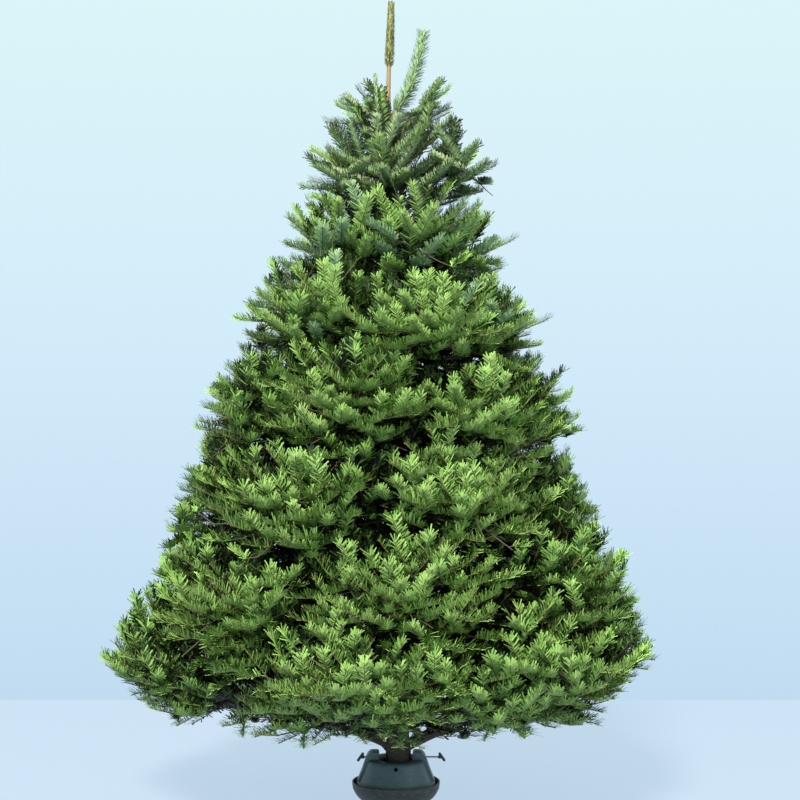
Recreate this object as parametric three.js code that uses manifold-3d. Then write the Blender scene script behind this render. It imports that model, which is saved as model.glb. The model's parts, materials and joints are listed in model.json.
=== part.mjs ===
// A cut fir for Christmas, about 2.1 m tall, standing in a small plastic water stand.
// Millimetres, +Z up. The origin is the underside centre of the stand.
import * as THREE from 'three';
import { mergeVertices } from 'three/addons/utils/BufferGeometryUtils.js';
import Module from 'manifold-3d';

const wasm = await Module();
wasm.setup();

// Whole tree
const TREE_TOP = 2091;
const GAP = 0.3;
const CUT_GAP = 0.36;
const GOLDEN_ANGLE = Math.PI * (3 - Math.sqrt(5));
const FULL_TURN = 2 * Math.PI;

// Trunk: it stands right of the stand's centre and leans to the left
const TRUNK_CUT_Z = 14.3;
const TRUNK_END_Z = 1945;
const TRUNK_FOOT_X = 8;
const TRUNK_LEAN = 29;
const TRUNK_LEAN_Z = 1850;
const LEADER_RETURN = 8;
const TRUNK_BUTT_RADIUS = 31.6;
const TRUNK_TOP_RADIUS = 6.6;
const LEADER_TIP_RADIUS = 3;
const FLARE_RADIUS = 5;
const FLARE_HEIGHT = 45;
const TRUNK_SIDES = 12;
const TRUNK_STEPS = 14;
const TRUNK_STEP_POWER = 1.6;

// Crown: the radius that the tips reach, by height
const CROWN_SHOULDER_Z = 1840;
const CROWN_SHOULDER_RADIUS = 195;
const CROWN_SLOPE = 0.357;
const CROWN_LEFT_BIAS = 0.022;
const CROWN_WIDEST_Z = 385;
const CROWN_TUCK_SLOPE = 0.8;
const CROWN_FLOOR_Z = 228;

// Tiers of boughs from the lowest up: height on the trunk, height of the tips,
// how far the middle of the bough is lifted off a straight line, and their number
const TIERS = [
  { attach: 135, tip: 360, lift: 45, count: 6, sprays: 7 },
  { attach: 435, tip: 575, lift: -12, count: 6, sprays: 6 },
  { attach: 690, tip: 805, lift: -14, count: 6, sprays: 5 },
  { attach: 930, tip: 1040, lift: -14, count: 6, sprays: 5 },
  { attach: 1165, tip: 1265, lift: -12, count: 5, sprays: 5 },
  { attach: 1380, tip: 1480, lift: -10, count: 5, sprays: 4 },
  { attach: 1590, tip: 1680, lift: -8, count: 5, sprays: 4 },
  { attach: 1765, tip: 1845, lift: -6, count: 5, sprays: 3 },
];
const BOUGH_SEED = 357;
const FIRST_AZIMUTH = 0.35;
const AZIMUTH_JITTER = 0.16;
const ATTACH_JITTER = 22;
const TIP_JITTER = 34;
const REACH_SHORTEST = 0.9;
const REACH_LONGEST = 1.05;
const BARE_BOUGH_SHARE = 0.24;
const BOUGH_BUTT_SHARE = 0.34;
const BOUGH_TIP_RADIUS = 3.2;
const PATH_STEPS = 8;
const PATH_MIDDLE_SHARE = 0.45;
const BOUGH_COLLAR_SWELL = 0.45;
const BOUGH_COLLAR_SHARE = 0.18;

// Upright shoots at the top
const LEADER_BUTT_RADIUS = 5.4;
const SIDE_LEADER_FOOT_Z = 1797;
const SIDE_LEADER_MIDDLE = [48, -10, 1845];
const SIDE_LEADER_TIP = [70, -16, 2012];
const SIDE_LEADER_BUTT_RADIUS = 4.4;
const UPRIGHT_TAPER = 0.6;
const UPRIGHT_SPRAYS = 7;
const UPRIGHT_SPRAY_LENGTH = 46;
const UPRIGHT_SPRAY_WIDTH_SHARE = 0.4;
const UPRIGHT_SPRAYS_FROM = 0.3;
const UPRIGHT_SPRAYS_TO = 0.72;

// Foliage mass: its own space is what lies nearer to its bough than to any other
const FLATNESS = 1.35;
const SPACE_MARGIN = 8;
const TRUNK_MARGIN = 8;
const MARCH_STEP = 6;
const CORE_SIDES = 8;
const CORE_RINGS = 3;
const CORE_FROM = 0.18;
const CORE_TO = 0.93;
const CORE_FILL = 0.9;
const CORE_HEIGHT = 135;
const CORE_HEIGHT_SHARE = 0.36;
const CORE_WIDTH_SHARE = 0.5;
const CORE_OUTLINE_SHARE = 0.94;
const CORE_SQUARENESS = 3;

// Sprays of needles
const SPRAY_SEED = 77;
const SPRAY_FROM = 0.4;
const SPRAY_TO = 0.93;
const SPRAY_ANGLE = 0.78;
const SPRAY_RISE = 0.3;
const SPRAY_ROLL = 1.1;
const SPRAY_SHORTEST = 70;
const SPRAY_LONGEST = 190;
const SPRAY_WIDTH_SHARE = 0.5;
const SPRAY_THICKNESS_SHARE = 0.09;
const TWIG_RADIUS = 4.5;
const TWIG_SINK_SHARE = 0.6;
const SPRAY_FREE_SHARE = 0.62;
const SPRAY_OUTLINE_SHARE = 1.04;
const SPRAY_CORNER_SHARE = 1.06;
const SPRAY_NARROWINGS = [1, 0.78, 0.6];
const TIP_SPRAY_SHARE = 0.42;
const STEM_TO = 0.9;
const STEM_SIDES = 4;

// Half outline of a spray: share of the length, and share of the half width
const SPRAY_TOOTH_A = [0.48, 1];
const SPRAY_NOTCH = [0.6, 0.5];
const SPRAY_TOOTH_B = [0.82, 0.66];
const SPRAY_PEAK = 0.45;

// Stand
const DISH_FOOT_RADIUS = 84;
const DISH_RIM_RADIUS = 115;
const DISH_RIM_Z = 58;
const DISH_FLOOR = 6;
const BOSS_RADIUS = 48;
const WALL = 4;
const SHELL_TOP_Z = 117;
const SHELL_MOUTH_RADIUS = 45;
const SHELL_SEAM_Z = 97;
const LATHE_SEGMENTS = 24;
const POST_WIDTH = 48;
const POST_TOP_Z = 136.5;
const POST_INNER_X = 44;
const LIP_HOLE_RADIUS = 5;
const LIP_HOLE_Z = 104;

// Clamp screws
const SCREW_Z = 120.5;
const SCREW_RADIUS = 2.6;
const SCREW_BORE_RADIUS = 3.05;
const SCREW_SIDES = 10;
const SCREW_RIGHT_END = 116;
const SCREW_LEFT_END = -88.5;
const GRIP_LENGTH = 27;
const GRIP_THICKNESS = 7;
const GRIP_TILT = 0.62;
const GRIP_HUB_RADIUS = 4.6;
const GRIP_HUB_LENGTH = 6;
const GRIP_DEPTH = 5;

// Seeded draws

class Draws {
  constructor(seed) {
    this.state = seed;
  }

  next() {
    this.state = (this.state * 1664525 + 1013904223) % 4294967296;
    return this.state / 4294967296;
  }

  between(low, high) {
    return low + (high - low) * this.next();
  }
}

// Solids

function solidOf(geometry) {
  const bare = new THREE.BufferGeometry();
  bare.setAttribute('position', geometry.getAttribute('position'));
  bare.setIndex(geometry.getIndex());
  const merged = mergeVertices(bare, 1e-3);
  return new wasm.Manifold(new wasm.Mesh({
    numProp: 3,
    vertProperties: new Float32Array(merged.getAttribute('position').array),
    triVerts: new Uint32Array(merged.getIndex().array),
  }));
}

function join(solids) {
  return solids.reduce((whole, piece) => whole.add(piece));
}

// The largest body alone: a loose scrap is dropped and a sealed pocket is filled
function mainBody(solid) {
  const bodies = solid.decompose();
  return bodies.reduce((best, body) => (body.volume() > best.volume() ? body : best));
}

function geometryOf(solid) {
  const mesh = solid.getMesh();
  const geometry = new THREE.BufferGeometry();
  geometry.setAttribute('position', new THREE.BufferAttribute(mesh.vertProperties, 3));
  geometry.setIndex(new THREE.BufferAttribute(mesh.triVerts, 1));
  geometry.computeVertexNormals();
  return geometry;
}

// Move each vertex of a geometry by a rule
function warp(geometry, rule) {
  const place = geometry.getAttribute('position');
  const at = new THREE.Vector3();
  for (let i = 0; i < place.count; i += 1) {
    at.fromBufferAttribute(place, i);
    rule(at);
    place.setXYZ(i, at.x, at.y, at.z);
  }
  return geometry;
}

// A tapering limb along a curve; radiusAt and the curve take a share from 0 to 1
function limb(curve, radiusAt, sides, steps, across) {
  const geometry = new THREE.CylinderGeometry(1, 1, 1, sides, steps);
  return solidOf(warp(geometry, (at) => {
    const share = at.y + 0.5;
    const along = curve.getTangent(share);
    const side = across.clone().addScaledVector(along, -across.dot(along)).normalize();
    const over = new THREE.Vector3().crossVectors(side, along);
    const radius = radiusAt(share);
    const centre = curve.getPoint(share);
    centre.addScaledVector(side, at.x * radius).addScaledVector(over, at.z * radius);
    at.copy(centre);
  }));
}

// Trunk

function trunkCentre(z) {
  const leaning = Math.min(z / TRUNK_LEAN_Z, 1);
  const back = Math.max(0, (z - TRUNK_LEAN_Z) / (TREE_TOP - TRUNK_LEAN_Z));
  return new THREE.Vector3(TRUNK_FOOT_X - TRUNK_LEAN * leaning + LEADER_RETURN * back, 0, z);
}

function trunkRadius(z) {
  const share = Math.min(z / TRUNK_LEAN_Z, 1);
  const above = Math.max(0, (z - TRUNK_LEAN_Z) / (TREE_TOP - TRUNK_LEAN_Z));
  const taper = TRUNK_BUTT_RADIUS + (TRUNK_TOP_RADIUS - TRUNK_BUTT_RADIUS) * share;
  const flare = FLARE_RADIUS * Math.exp(-(z - TRUNK_CUT_Z) / FLARE_HEIGHT);
  return taper + flare + (LEADER_TIP_RADIUS - TRUNK_TOP_RADIUS) * above;
}

// Level rings, closer together at the flared foot
function trunkSolid(clearance) {
  const geometry = new THREE.CylinderGeometry(1, 1, 1, TRUNK_SIDES, TRUNK_STEPS);
  return solidOf(warp(geometry, (at) => {
    const share = (at.y + 0.5) ** TRUNK_STEP_POWER;
    const z = TRUNK_CUT_Z - clearance + (TRUNK_END_Z - TRUNK_CUT_Z + 2 * clearance) * share;
    const radius = trunkRadius(z) + clearance;
    const centre = trunkCentre(z);
    at.set(centre.x + at.x * radius, centre.y - at.z * radius, z);
  }));
}

// Crown outline

function crownRadius(z, azimuth) {
  const slope = CROWN_SLOPE - CROWN_LEFT_BIAS * Math.cos(azimuth);
  const height = Math.max(z, CROWN_WIDEST_Z);
  const tuck = CROWN_TUCK_SLOPE * Math.max(0, CROWN_WIDEST_Z - z);
  return CROWN_SHOULDER_RADIUS + slope * (CROWN_SHOULDER_Z - height) - tuck;
}

// Boughs

function boughPath(attach, middleZ, tip) {
  const foot = trunkCentre(attach);
  const middle = new THREE.Vector3().lerpVectors(foot, tip, PATH_MIDDLE_SHARE).setZ(middleZ);
  return new THREE.QuadraticBezierCurve3(foot, middle, tip);
}

function growBoughs() {
  const draws = new Draws(BOUGH_SEED);
  const boughs = [];
  TIERS.forEach((tier, level) => {
    for (let i = 0; i < tier.count; i += 1) {
      const turn = (i + AZIMUTH_JITTER * draws.between(-1, 1)) / tier.count;
      const azimuth = FIRST_AZIMUTH + level * GOLDEN_ANGLE + turn * FULL_TURN;
      const attach = tier.attach + ATTACH_JITTER * draws.between(-1, 1);
      const tipZ = tier.tip + TIP_JITTER * draws.between(-1, 1);
      const share = draws.between(REACH_SHORTEST, REACH_LONGEST);
      const reach = share * crownRadius(tipZ, azimuth);
      const tip = new THREE.Vector3(reach * Math.cos(azimuth), reach * Math.sin(azimuth), tipZ);
      boughs.push({
        name: `foliage_${level + 1}_${i + 1}`,
        level,
        share,
        reach,
        sprays: tier.sprays,
        path: boughPath(attach, (attach + tipZ) / 2 + tier.lift, tip),
        buttRadius: BOUGH_BUTT_SHARE * trunkRadius(attach),
        bare: level === 0 ? BARE_BOUGH_SHARE : 0,
      });
    }
  });
  return boughs;
}

// The two upright shoots at the top: the leader itself and one beside it
function growShoots() {
  const leaderFoot = trunkCentre(TRUNK_END_Z);
  const leaderTip = trunkCentre(TREE_TOP);
  const leaderMiddle = leaderFoot.clone().lerp(leaderTip, 0.5);
  const leader = new THREE.QuadraticBezierCurve3(leaderFoot, leaderMiddle, leaderTip);
  const beside = new THREE.QuadraticBezierCurve3(
    trunkCentre(SIDE_LEADER_FOOT_Z),
    new THREE.Vector3(...SIDE_LEADER_MIDDLE),
    new THREE.Vector3(...SIDE_LEADER_TIP),
  );
  return [
    {
      name: 'leader_tip',
      path: leader,
      buttRadius: LEADER_BUTT_RADIUS,
      bare: GAP / leader.getLength(),
    },
    { name: 'side_leader', path: beside, buttRadius: SIDE_LEADER_BUTT_RADIUS, bare: 0 },
  ];
}

// Own space

function pathPoints(bough) {
  return bough.path.getPoints(PATH_STEPS);
}

function flatDistance(point, points) {
  let best = Infinity;
  for (let i = 0; i + 1 < points.length; i += 1) {
    const a = points[i];
    const b = points[i + 1];
    const ux = b.x - a.x;
    const uy = b.y - a.y;
    const uz = (b.z - a.z) * FLATNESS;
    const px = point.x - a.x;
    const py = point.y - a.y;
    const pz = (point.z - a.z) * FLATNESS;
    const along = (px * ux + py * uy + pz * uz) / (ux * ux + uy * uy + uz * uz);
    const t = Math.min(1, Math.max(0, along));
    best = Math.min(best, Math.hypot(px - t * ux, py - t * uy, pz - t * uz));
  }
  return best;
}

function isOwnSpace(point, bough, all, outlineShare) {
  const fromTrunk = Math.hypot(point.x - trunkCentre(point.z).x, point.y);
  if (fromTrunk < trunkRadius(point.z) + TRUNK_MARGIN || point.z < CROWN_FLOOR_Z) {
    return false;
  }
  const limit = outlineShare * crownRadius(point.z, Math.atan2(point.y, point.x));
  if (Math.hypot(point.x, point.y) > limit) {
    return false;
  }
  const own = flatDistance(point, bough.points) + SPACE_MARGIN;
  return all.every((other) => other === bough || flatDistance(point, other.points) > own);
}

// How far a straight line from a point stays in the bough's own space
function march(from, direction, farthest, bough, all, outlineShare) {
  const at = new THREE.Vector3();
  let reach = 0;
  while (reach + MARCH_STEP <= farthest) {
    at.copy(from).addScaledVector(direction, reach + MARCH_STEP);
    if (!isOwnSpace(at, bough, all, outlineShare)) {
      break;
    }
    reach += MARCH_STEP;
  }
  return reach;
}

// Foliage

function frameAt(bough, share) {
  const along = bough.path.getTangent(share);
  const across = new THREE.Vector3(-along.y, along.x, 0).normalize();
  const over = new THREE.Vector3().crossVectors(along, across);
  return { centre: bough.path.getPoint(share), along, across, over };
}

// The dense heart of a mass: a closed bag round the bough that fills most of its own space
function coreSolid(bough, all) {
  const from = Math.max(CORE_FROM, bough.bare + 0.06);
  const rows = CORE_RINGS + 1;
  const cache = new Map();
  const geometry = new THREE.SphereGeometry(1, CORE_SIDES, rows);
  return solidOf(warp(geometry, (at) => {
    const row = Math.round(Math.acos(Math.max(-1, Math.min(1, at.y))) / Math.PI * rows);
    const share = from + (CORE_TO - from) * Math.sin(row / rows * Math.PI / 2);
    const frame = frameAt(bough, share);
    const ring = Math.hypot(at.x, at.z);
    if (ring < 0.01) {
      at.copy(frame.centre);
      return;
    }
    const side = Math.round(Math.atan2(at.z, at.x) / FULL_TURN * CORE_SIDES);
    const angle = side / CORE_SIDES * FULL_TURN;
    const direction = frame.across.clone().multiplyScalar(Math.cos(angle));
    direction.addScaledVector(frame.over, Math.sin(angle));
    const key = `${row}/${(side + CORE_SIDES) % CORE_SIDES}`;
    if (!cache.has(key)) {
      const flat = Math.abs(Math.cos(angle)) / (CORE_WIDTH_SHARE * bough.reach);
      const tall = Math.abs(Math.sin(angle)) / Math.min(CORE_HEIGHT, CORE_HEIGHT_SHARE * bough.reach);
      const farthest = (flat ** CORE_SQUARENESS + tall ** CORE_SQUARENESS) ** (-1 / CORE_SQUARENESS);
      const outline = bough.share * CORE_OUTLINE_SHARE;
      cache.set(key, Math.max(4, CORE_FILL * march(frame.centre, direction, farthest, bough, all, outline)));
    }
    at.copy(frame.centre).addScaledVector(direction, cache.get(key));
  }));
}

// A toothed blade that stands for a spray of needles: root, forward direction and upper side
function spraySolid(root, direction, over, length, width) {
  const half = width / 2;
  const outline = [
    [1, 0], SPRAY_TOOTH_B, SPRAY_NOTCH, SPRAY_TOOTH_A,
    [0, 0],
    [SPRAY_TOOTH_A[0], -SPRAY_TOOTH_A[1]],
    [SPRAY_NOTCH[0], -SPRAY_NOTCH[1]],
    [SPRAY_TOOTH_B[0], -SPRAY_TOOTH_B[1]],
  ];
  const across = new THREE.Vector3().crossVectors(over, direction).normalize();
  const up = new THREE.Vector3().crossVectors(direction, across);
  const geometry = new THREE.SphereGeometry(1, outline.length, 2);
  return solidOf(warp(geometry, (at) => {
    let along = SPRAY_PEAK;
    let aside = 0;
    if (Math.hypot(at.x, at.z) > 0.5) {
      const turn = Math.atan2(at.z, at.x) / FULL_TURN * outline.length;
      const corner = outline[(Math.round(turn) + outline.length) % outline.length];
      [along, aside] = corner;
    }
    const lift = at.y * SPRAY_THICKNESS_SHARE * length * 0.5;
    at.copy(root).addScaledVector(direction, along * length);
    at.addScaledVector(across, -aside * half).addScaledVector(up, lift);
  }));
}

function twigSolid(from, to, over) {
  const line = new THREE.LineCurve3(from, to);
  const across = new THREE.Vector3().crossVectors(over, line.getTangent(0)).normalize();
  const cone = new THREE.ConeGeometry(TWIG_RADIUS, 1, 3);
  const along = line.getTangent(0);
  const side = new THREE.Vector3().crossVectors(across, along);
  return solidOf(warp(cone, (at) => {
    const place = line.getPoint(at.y + 0.5);
    at.copy(place.addScaledVector(across, at.x).addScaledVector(side, at.z));
  }));
}

// The corners of a spray have to lie in the mass's own space
function sprayFits(root, direction, over, length, width, bough, all) {
  const across = new THREE.Vector3().crossVectors(over, direction).normalize();
  const corners = [[1, 0], SPRAY_TOOTH_A, SPRAY_TOOTH_B];
  return corners.every(([along, aside]) => [-1, 1].every((sign) => {
    const corner = root.clone().addScaledVector(direction, (along - 0.02) * length);
    corner.addScaledVector(across, sign * aside * width / 2);
    return isOwnSpace(corner, bough, all, bough.share * SPRAY_CORNER_SHARE);
  }));
}

// A twig from the bough with its spray at the end; none if it would leave the space
function twigWithSpray(frame, direction, roll, bough, all) {
  const over = frame.over.clone().applyAxisAngle(direction, roll);
  const farthest = SPRAY_LONGEST * 1.9;
  const outline = bough.share * SPRAY_OUTLINE_SHARE;
  const free = march(frame.centre, direction, farthest, bough, all, outline);
  const length = Math.min(SPRAY_LONGEST, SPRAY_FREE_SHARE * free);
  if (length < SPRAY_SHORTEST) {
    return [];
  }
  const root = frame.centre.clone().addScaledVector(direction, free - length);
  for (const narrowing of SPRAY_NARROWINGS) {
    const width = SPRAY_WIDTH_SHARE * length * narrowing;
    if (sprayFits(root, direction, over, length, width, bough, all)) {
      const sunk = root.clone().addScaledVector(direction, length * TWIG_SINK_SHARE);
      return [
        spraySolid(root, direction, over, length, width),
        twigSolid(frame.centre, sunk, over),
      ];
    }
  }
  return [];
}

// Twigs leave the bough to the left and right by turns, some rising and some drooping
function spraysOf(bough, all, draws) {
  const pieces = [];
  for (let i = 0; i < bough.sprays; i += 1) {
    const share = SPRAY_FROM + (SPRAY_TO - SPRAY_FROM) * (i + draws.next()) / bough.sprays;
    const frame = frameAt(bough, Math.max(share, bough.bare + 0.1));
    const side = i % 2 === 0 ? 1 : -1;
    const opening = SPRAY_ANGLE * draws.between(0.75, 1.25);
    const rise = SPRAY_RISE * draws.between(-0.9, 1.8);
    const direction = frame.along.clone().multiplyScalar(Math.cos(opening));
    direction.addScaledVector(frame.across, side * Math.sin(opening));
    direction.addScaledVector(frame.over, rise).normalize();
    const roll = SPRAY_ROLL * draws.between(-1, 1);
    pieces.push(...twigWithSpray(frame, direction, roll, bough, all));
  }
  return pieces;
}

// The last spray carries the bough on to its furthest tip
function tipSpray(bough) {
  const frame = frameAt(bough, 1);
  const length = Math.min(SPRAY_LONGEST, TIP_SPRAY_SHARE * bough.reach);
  const root = frame.centre.clone().addScaledVector(frame.along, -length);
  return spraySolid(root, frame.along, frame.over, length, length * SPRAY_WIDTH_SHARE);
}

function foliageSolid(bough, all, draws, trunkCutter) {
  const section = new SubPath(bough.path, bough.bare, STEM_TO);
  const radiusAt = (share) => {
    const whole = bough.bare + (STEM_TO - bough.bare) * share;
    return bough.buttRadius + (BOUGH_TIP_RADIUS - bough.buttRadius) * whole;
  };
  const across = frameAt(bough, 0.5).across;
  const stem = limb(section, radiusAt, STEM_SIDES, STEM_SIDES, across);
  const whole = join([stem, coreSolid(bough, all), tipSpray(bough), ...spraysOf(bough, all, draws)]);
  return mainBody(bough.bare > 0 ? whole : whole.subtract(trunkCutter));
}

// A slim upright shoot that short sprays stand out of, all round and pointing up
function shootSolid(shoot, trunkCutter) {
  const section = new SubPath(shoot.path, shoot.bare, 1);
  const across = new THREE.Vector3(1, 0, 0);
  const radiusAt = (share) => shoot.buttRadius * (1 - UPRIGHT_TAPER * share);
  const pieces = [limb(section, radiusAt, 6, 3, across)];
  const run = UPRIGHT_SPRAYS_TO - UPRIGHT_SPRAYS_FROM;
  for (let i = 0; i < UPRIGHT_SPRAYS; i += 1) {
    const share = UPRIGHT_SPRAYS_FROM + run * i / (UPRIGHT_SPRAYS - 1);
    const along = shoot.path.getTangent(share);
    const turn = i * GOLDEN_ANGLE;
    const outward = new THREE.Vector3(Math.cos(turn), Math.sin(turn), 0);
    outward.addScaledVector(along, -outward.dot(along)).normalize();
    const direction = along.clone().multiplyScalar(0.86).addScaledVector(outward, 0.5).normalize();
    const root = shoot.path.getPoint(share);
    const width = UPRIGHT_SPRAY_LENGTH * UPRIGHT_SPRAY_WIDTH_SHARE;
    pieces.push(spraySolid(root, direction, outward, UPRIGHT_SPRAY_LENGTH, width));
  }
  const whole = join(pieces);
  return mainBody(shoot.name === 'side_leader' ? whole.subtract(trunkCutter) : whole);
}

// A stretch of a path, as a curve of its own
class SubPath extends THREE.Curve {
  constructor(path, from, to) {
    super();
    this.path = path;
    this.from = from;
    this.to = to;
  }

  getPoint(share, target = new THREE.Vector3()) {
    return this.path.getPoint(this.from + (this.to - this.from) * share, target);
  }
}

// A bare bough of the lowest tier, from the trunk to where its foliage begins
function boughSolid(bough, trunkCutter) {
  const end = bough.bare - GAP / bough.path.getLength();
  const section = new SubPath(bough.path, 0, end);
  const radiusAt = (share) => {
    const whole = end * share;
    const collar = 1 + BOUGH_COLLAR_SWELL * Math.exp(-share / BOUGH_COLLAR_SHARE);
    return collar * (bough.buttRadius + (BOUGH_TIP_RADIUS - bough.buttRadius) * whole);
  };
  const solid = limb(section, radiusAt, 8, 7, frameAt(bough, 0.5).across);
  return mainBody(solid.subtract(trunkCutter));
}

// Stand

function lathe(profile) {
  const closed = profile.map(([radius, z]) => new THREE.Vector2(radius, z));
  if (profile[0][0] > 0) {
    closed.push(closed[0].clone());
  }
  const geometry = new THREE.LatheGeometry(closed, LATHE_SEGMENTS);
  geometry.rotateX(Math.PI / 2);
  return solidOf(geometry);
}

function dishSolid() {
  return lathe([
    [0, 0],
    [DISH_FOOT_RADIUS, 0],
    [DISH_FOOT_RADIUS + 3, 8],
    [98, 17],
    [105, 25],
    [113, 40],
    [DISH_RIM_RADIUS, 53],
    [DISH_RIM_RADIUS, DISH_RIM_Z - 1],
    [DISH_RIM_RADIUS - 1.5, DISH_RIM_Z + 1],
    [DISH_RIM_RADIUS - WALL, DISH_RIM_Z],
    [DISH_RIM_RADIUS - WALL - 2, 42],
    [101, 28],
    [93, 19],
    [82, 10],
    [74, DISH_FLOOR],
    [BOSS_RADIUS + 2, DISH_FLOOR],
    [BOSS_RADIUS, TRUNK_CUT_Z - GAP],
    [0, TRUNK_CUT_Z - GAP],
  ]);
}

// Outer line of the shell's flare, from the ledge up to the shoulder
const FLARE_LINE = [[104, 55], [98, 61], [87, 87], [79, 111]];

// The shell, moulded in two: a flared skirt, and above a level seam the collar with its posts
function shellSolids() {
  const inner = FLARE_LINE.map(([radius, z]) => [radius - WALL, z - 1.6]).reverse();
  const ring = lathe([
    [70, DISH_FLOOR + GAP],
    [74, DISH_FLOOR + GAP],
    [91, 24],
    [101, 42],
    ...FLARE_LINE,
    [74, SHELL_TOP_Z],
    [50, SHELL_TOP_Z],
    [SHELL_MOUTH_RADIUS + 1, SHELL_TOP_Z - 3],
    [SHELL_MOUTH_RADIUS, SHELL_TOP_Z - 14],
    [SHELL_MOUTH_RADIUS + WALL - 1, SHELL_TOP_Z - 14],
    [SHELL_MOUTH_RADIUS + WALL, SHELL_TOP_Z - WALL],
    [71, SHELL_TOP_Z - WALL],
    ...inner,
    [87, 26],
  ]);
  const posts = [1, -1].map((side) => postSolid(side));
  const lipHole = crossBore(LIP_HOLE_RADIUS, LIP_HOLE_Z, 200, 'y');
  const screwBore = crossBore(SCREW_BORE_RADIUS, SCREW_Z, 240, 'x');
  const whole = join([ring, ...posts]).subtract(lipHole).subtract(screwBore);
  return {
    collar: mainBody(whole.trimByPlane([0, 0, 1], SHELL_SEAM_Z + GAP / 2)),
    skirt: mainBody(whole.trimByPlane([0, 0, -1], GAP / 2 - SHELL_SEAM_Z)),
  };
}

// A buttress post: its side view runs down the flare as a rib, its front view is rounded
function postSolid(side) {
  const profile = new THREE.Shape();
  profile.moveTo(POST_INNER_X, 104);
  profile.lineTo(POST_INNER_X + 0.5, POST_TOP_Z - 5);
  profile.quadraticCurveTo(POST_INNER_X + 1, POST_TOP_Z, POST_INNER_X + 7, POST_TOP_Z);
  profile.lineTo(64, POST_TOP_Z);
  profile.quadraticCurveTo(70, POST_TOP_Z, 73, 130);
  FLARE_LINE.slice(1).reverse().forEach(([radius, z]) => profile.lineTo(radius + 3, z));
  profile.lineTo(FLARE_LINE[1][0] - 2.5, FLARE_LINE[1][1]);
  profile.lineTo(FLARE_LINE[2][0] - 2.5, FLARE_LINE[2][1]);
  profile.lineTo(FLARE_LINE[3][0] - 5, 104);
  const block = new THREE.ExtrudeGeometry(profile, {
    depth: POST_WIDTH, bevelEnabled: false, curveSegments: 3,
  });
  block.rotateX(Math.PI / 2).translate(0, POST_WIDTH / 2, 0);

  const half = POST_WIDTH / 2;
  const front = new THREE.Shape();
  front.moveTo(-half, 50);
  front.lineTo(half, 50);
  front.lineTo(half - 1, POST_TOP_Z - 16);
  front.quadraticCurveTo(half - 3, POST_TOP_Z, half - 15, POST_TOP_Z);
  front.lineTo(15 - half, POST_TOP_Z);
  front.quadraticCurveTo(3 - half, POST_TOP_Z, 1 - half, POST_TOP_Z - 16);
  const limits = new THREE.ExtrudeGeometry(front, {
    depth: 80, bevelEnabled: false, curveSegments: 4,
  });
  limits.rotateX(Math.PI / 2).rotateZ(Math.PI / 2).translate(36, 0, 0);

  const turn = side > 0 ? 0 : Math.PI;
  return solidOf(block.rotateZ(turn)).intersect(solidOf(limits.rotateZ(turn)));
}

function crossBore(radius, z, length, axis) {
  const bore = new THREE.CylinderGeometry(radius, radius, length, SCREW_SIDES);
  if (axis === 'x') {
    bore.rotateZ(Math.PI / 2);
  }
  return solidOf(bore.translate(0, 0, z));
}

// Rod along X between two places, clear of the trunk by the gap at its inner end
function screwSolid(innerX, outerX) {
  const length = Math.abs(outerX - innerX);
  const rod = new THREE.CylinderGeometry(SCREW_RADIUS, SCREW_RADIUS, length, SCREW_SIDES);
  rod.rotateZ(Math.PI / 2).translate((innerX + outerX) / 2, 0, SCREW_Z);
  return solidOf(rod);
}

// A small slanted bar on the outer end of a screw, its lower end outwards
function gripSolid(endX, side) {
  const bar = new THREE.Shape();
  const half = GRIP_LENGTH / 2;
  const round = GRIP_THICKNESS / 2;
  bar.absarc(half - round, 0, round, -Math.PI / 2, Math.PI / 2);
  bar.absarc(round - half, 0, round, Math.PI / 2, 1.5 * Math.PI);
  const barGeometry = new THREE.ExtrudeGeometry(bar, {
    depth: GRIP_THICKNESS, bevelEnabled: false, curveSegments: 5,
  });
  barGeometry.translate(0, 0, -GRIP_THICKNESS / 2).rotateX(Math.PI / 2).rotateY(Math.PI / 2 - side * GRIP_TILT);
  const middle = endX - side * GRIP_DEPTH + side * (GRIP_HUB_LENGTH + GRIP_THICKNESS / 2);
  barGeometry.translate(middle, 0, SCREW_Z);
  const hubLength = GRIP_HUB_LENGTH + 2;
  const hub = new THREE.CylinderGeometry(GRIP_HUB_RADIUS, GRIP_HUB_RADIUS, hubLength, SCREW_SIDES);
  hub.rotateZ(Math.PI / 2);
  hub.translate(endX + side * (hubLength / 2 - GRIP_DEPTH), 0, SCREW_Z);
  const bore = new THREE.CylinderGeometry(
    SCREW_BORE_RADIUS, SCREW_BORE_RADIUS, 2 * GRIP_DEPTH, SCREW_SIDES,
  );
  bore.rotateZ(Math.PI / 2).translate(endX - side * (GRIP_DEPTH - GAP), 0, SCREW_Z);
  return mainBody(solidOf(barGeometry).add(solidOf(hub)).subtract(solidOf(bore)));
}

// Materials

const materials = {
  bark: new THREE.MeshStandardMaterial({ color: 0x5d4f42, roughness: 0.95, metalness: 0 }),
  needles: new THREE.MeshStandardMaterial({ color: 0x4b6439, roughness: 0.8, metalness: 0 }),
  shoots: new THREE.MeshStandardMaterial({ color: 0x7f9150, roughness: 0.8, metalness: 0 }),
  dish: new THREE.MeshStandardMaterial({ color: 0x2f302c, roughness: 0.5, metalness: 0 }),
  shell: new THREE.MeshStandardMaterial({ color: 0x3f5458, roughness: 0.45, metalness: 0 }),
  steel: new THREE.MeshStandardMaterial({ color: 0xb9bcbe, roughness: 0.3, metalness: 1 }),
  grip: new THREE.MeshStandardMaterial({ color: 0x1d1e1f, roughness: 0.55, metalness: 0 }),
};

function meshOf(name, solid, material) {
  const mesh = new THREE.Mesh(geometryOf(solid), material);
  mesh.name = name;
  return mesh;
}

// Assembly

const tree = new THREE.Group();
const trunkCutter = trunkSolid(CUT_GAP);

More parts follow.
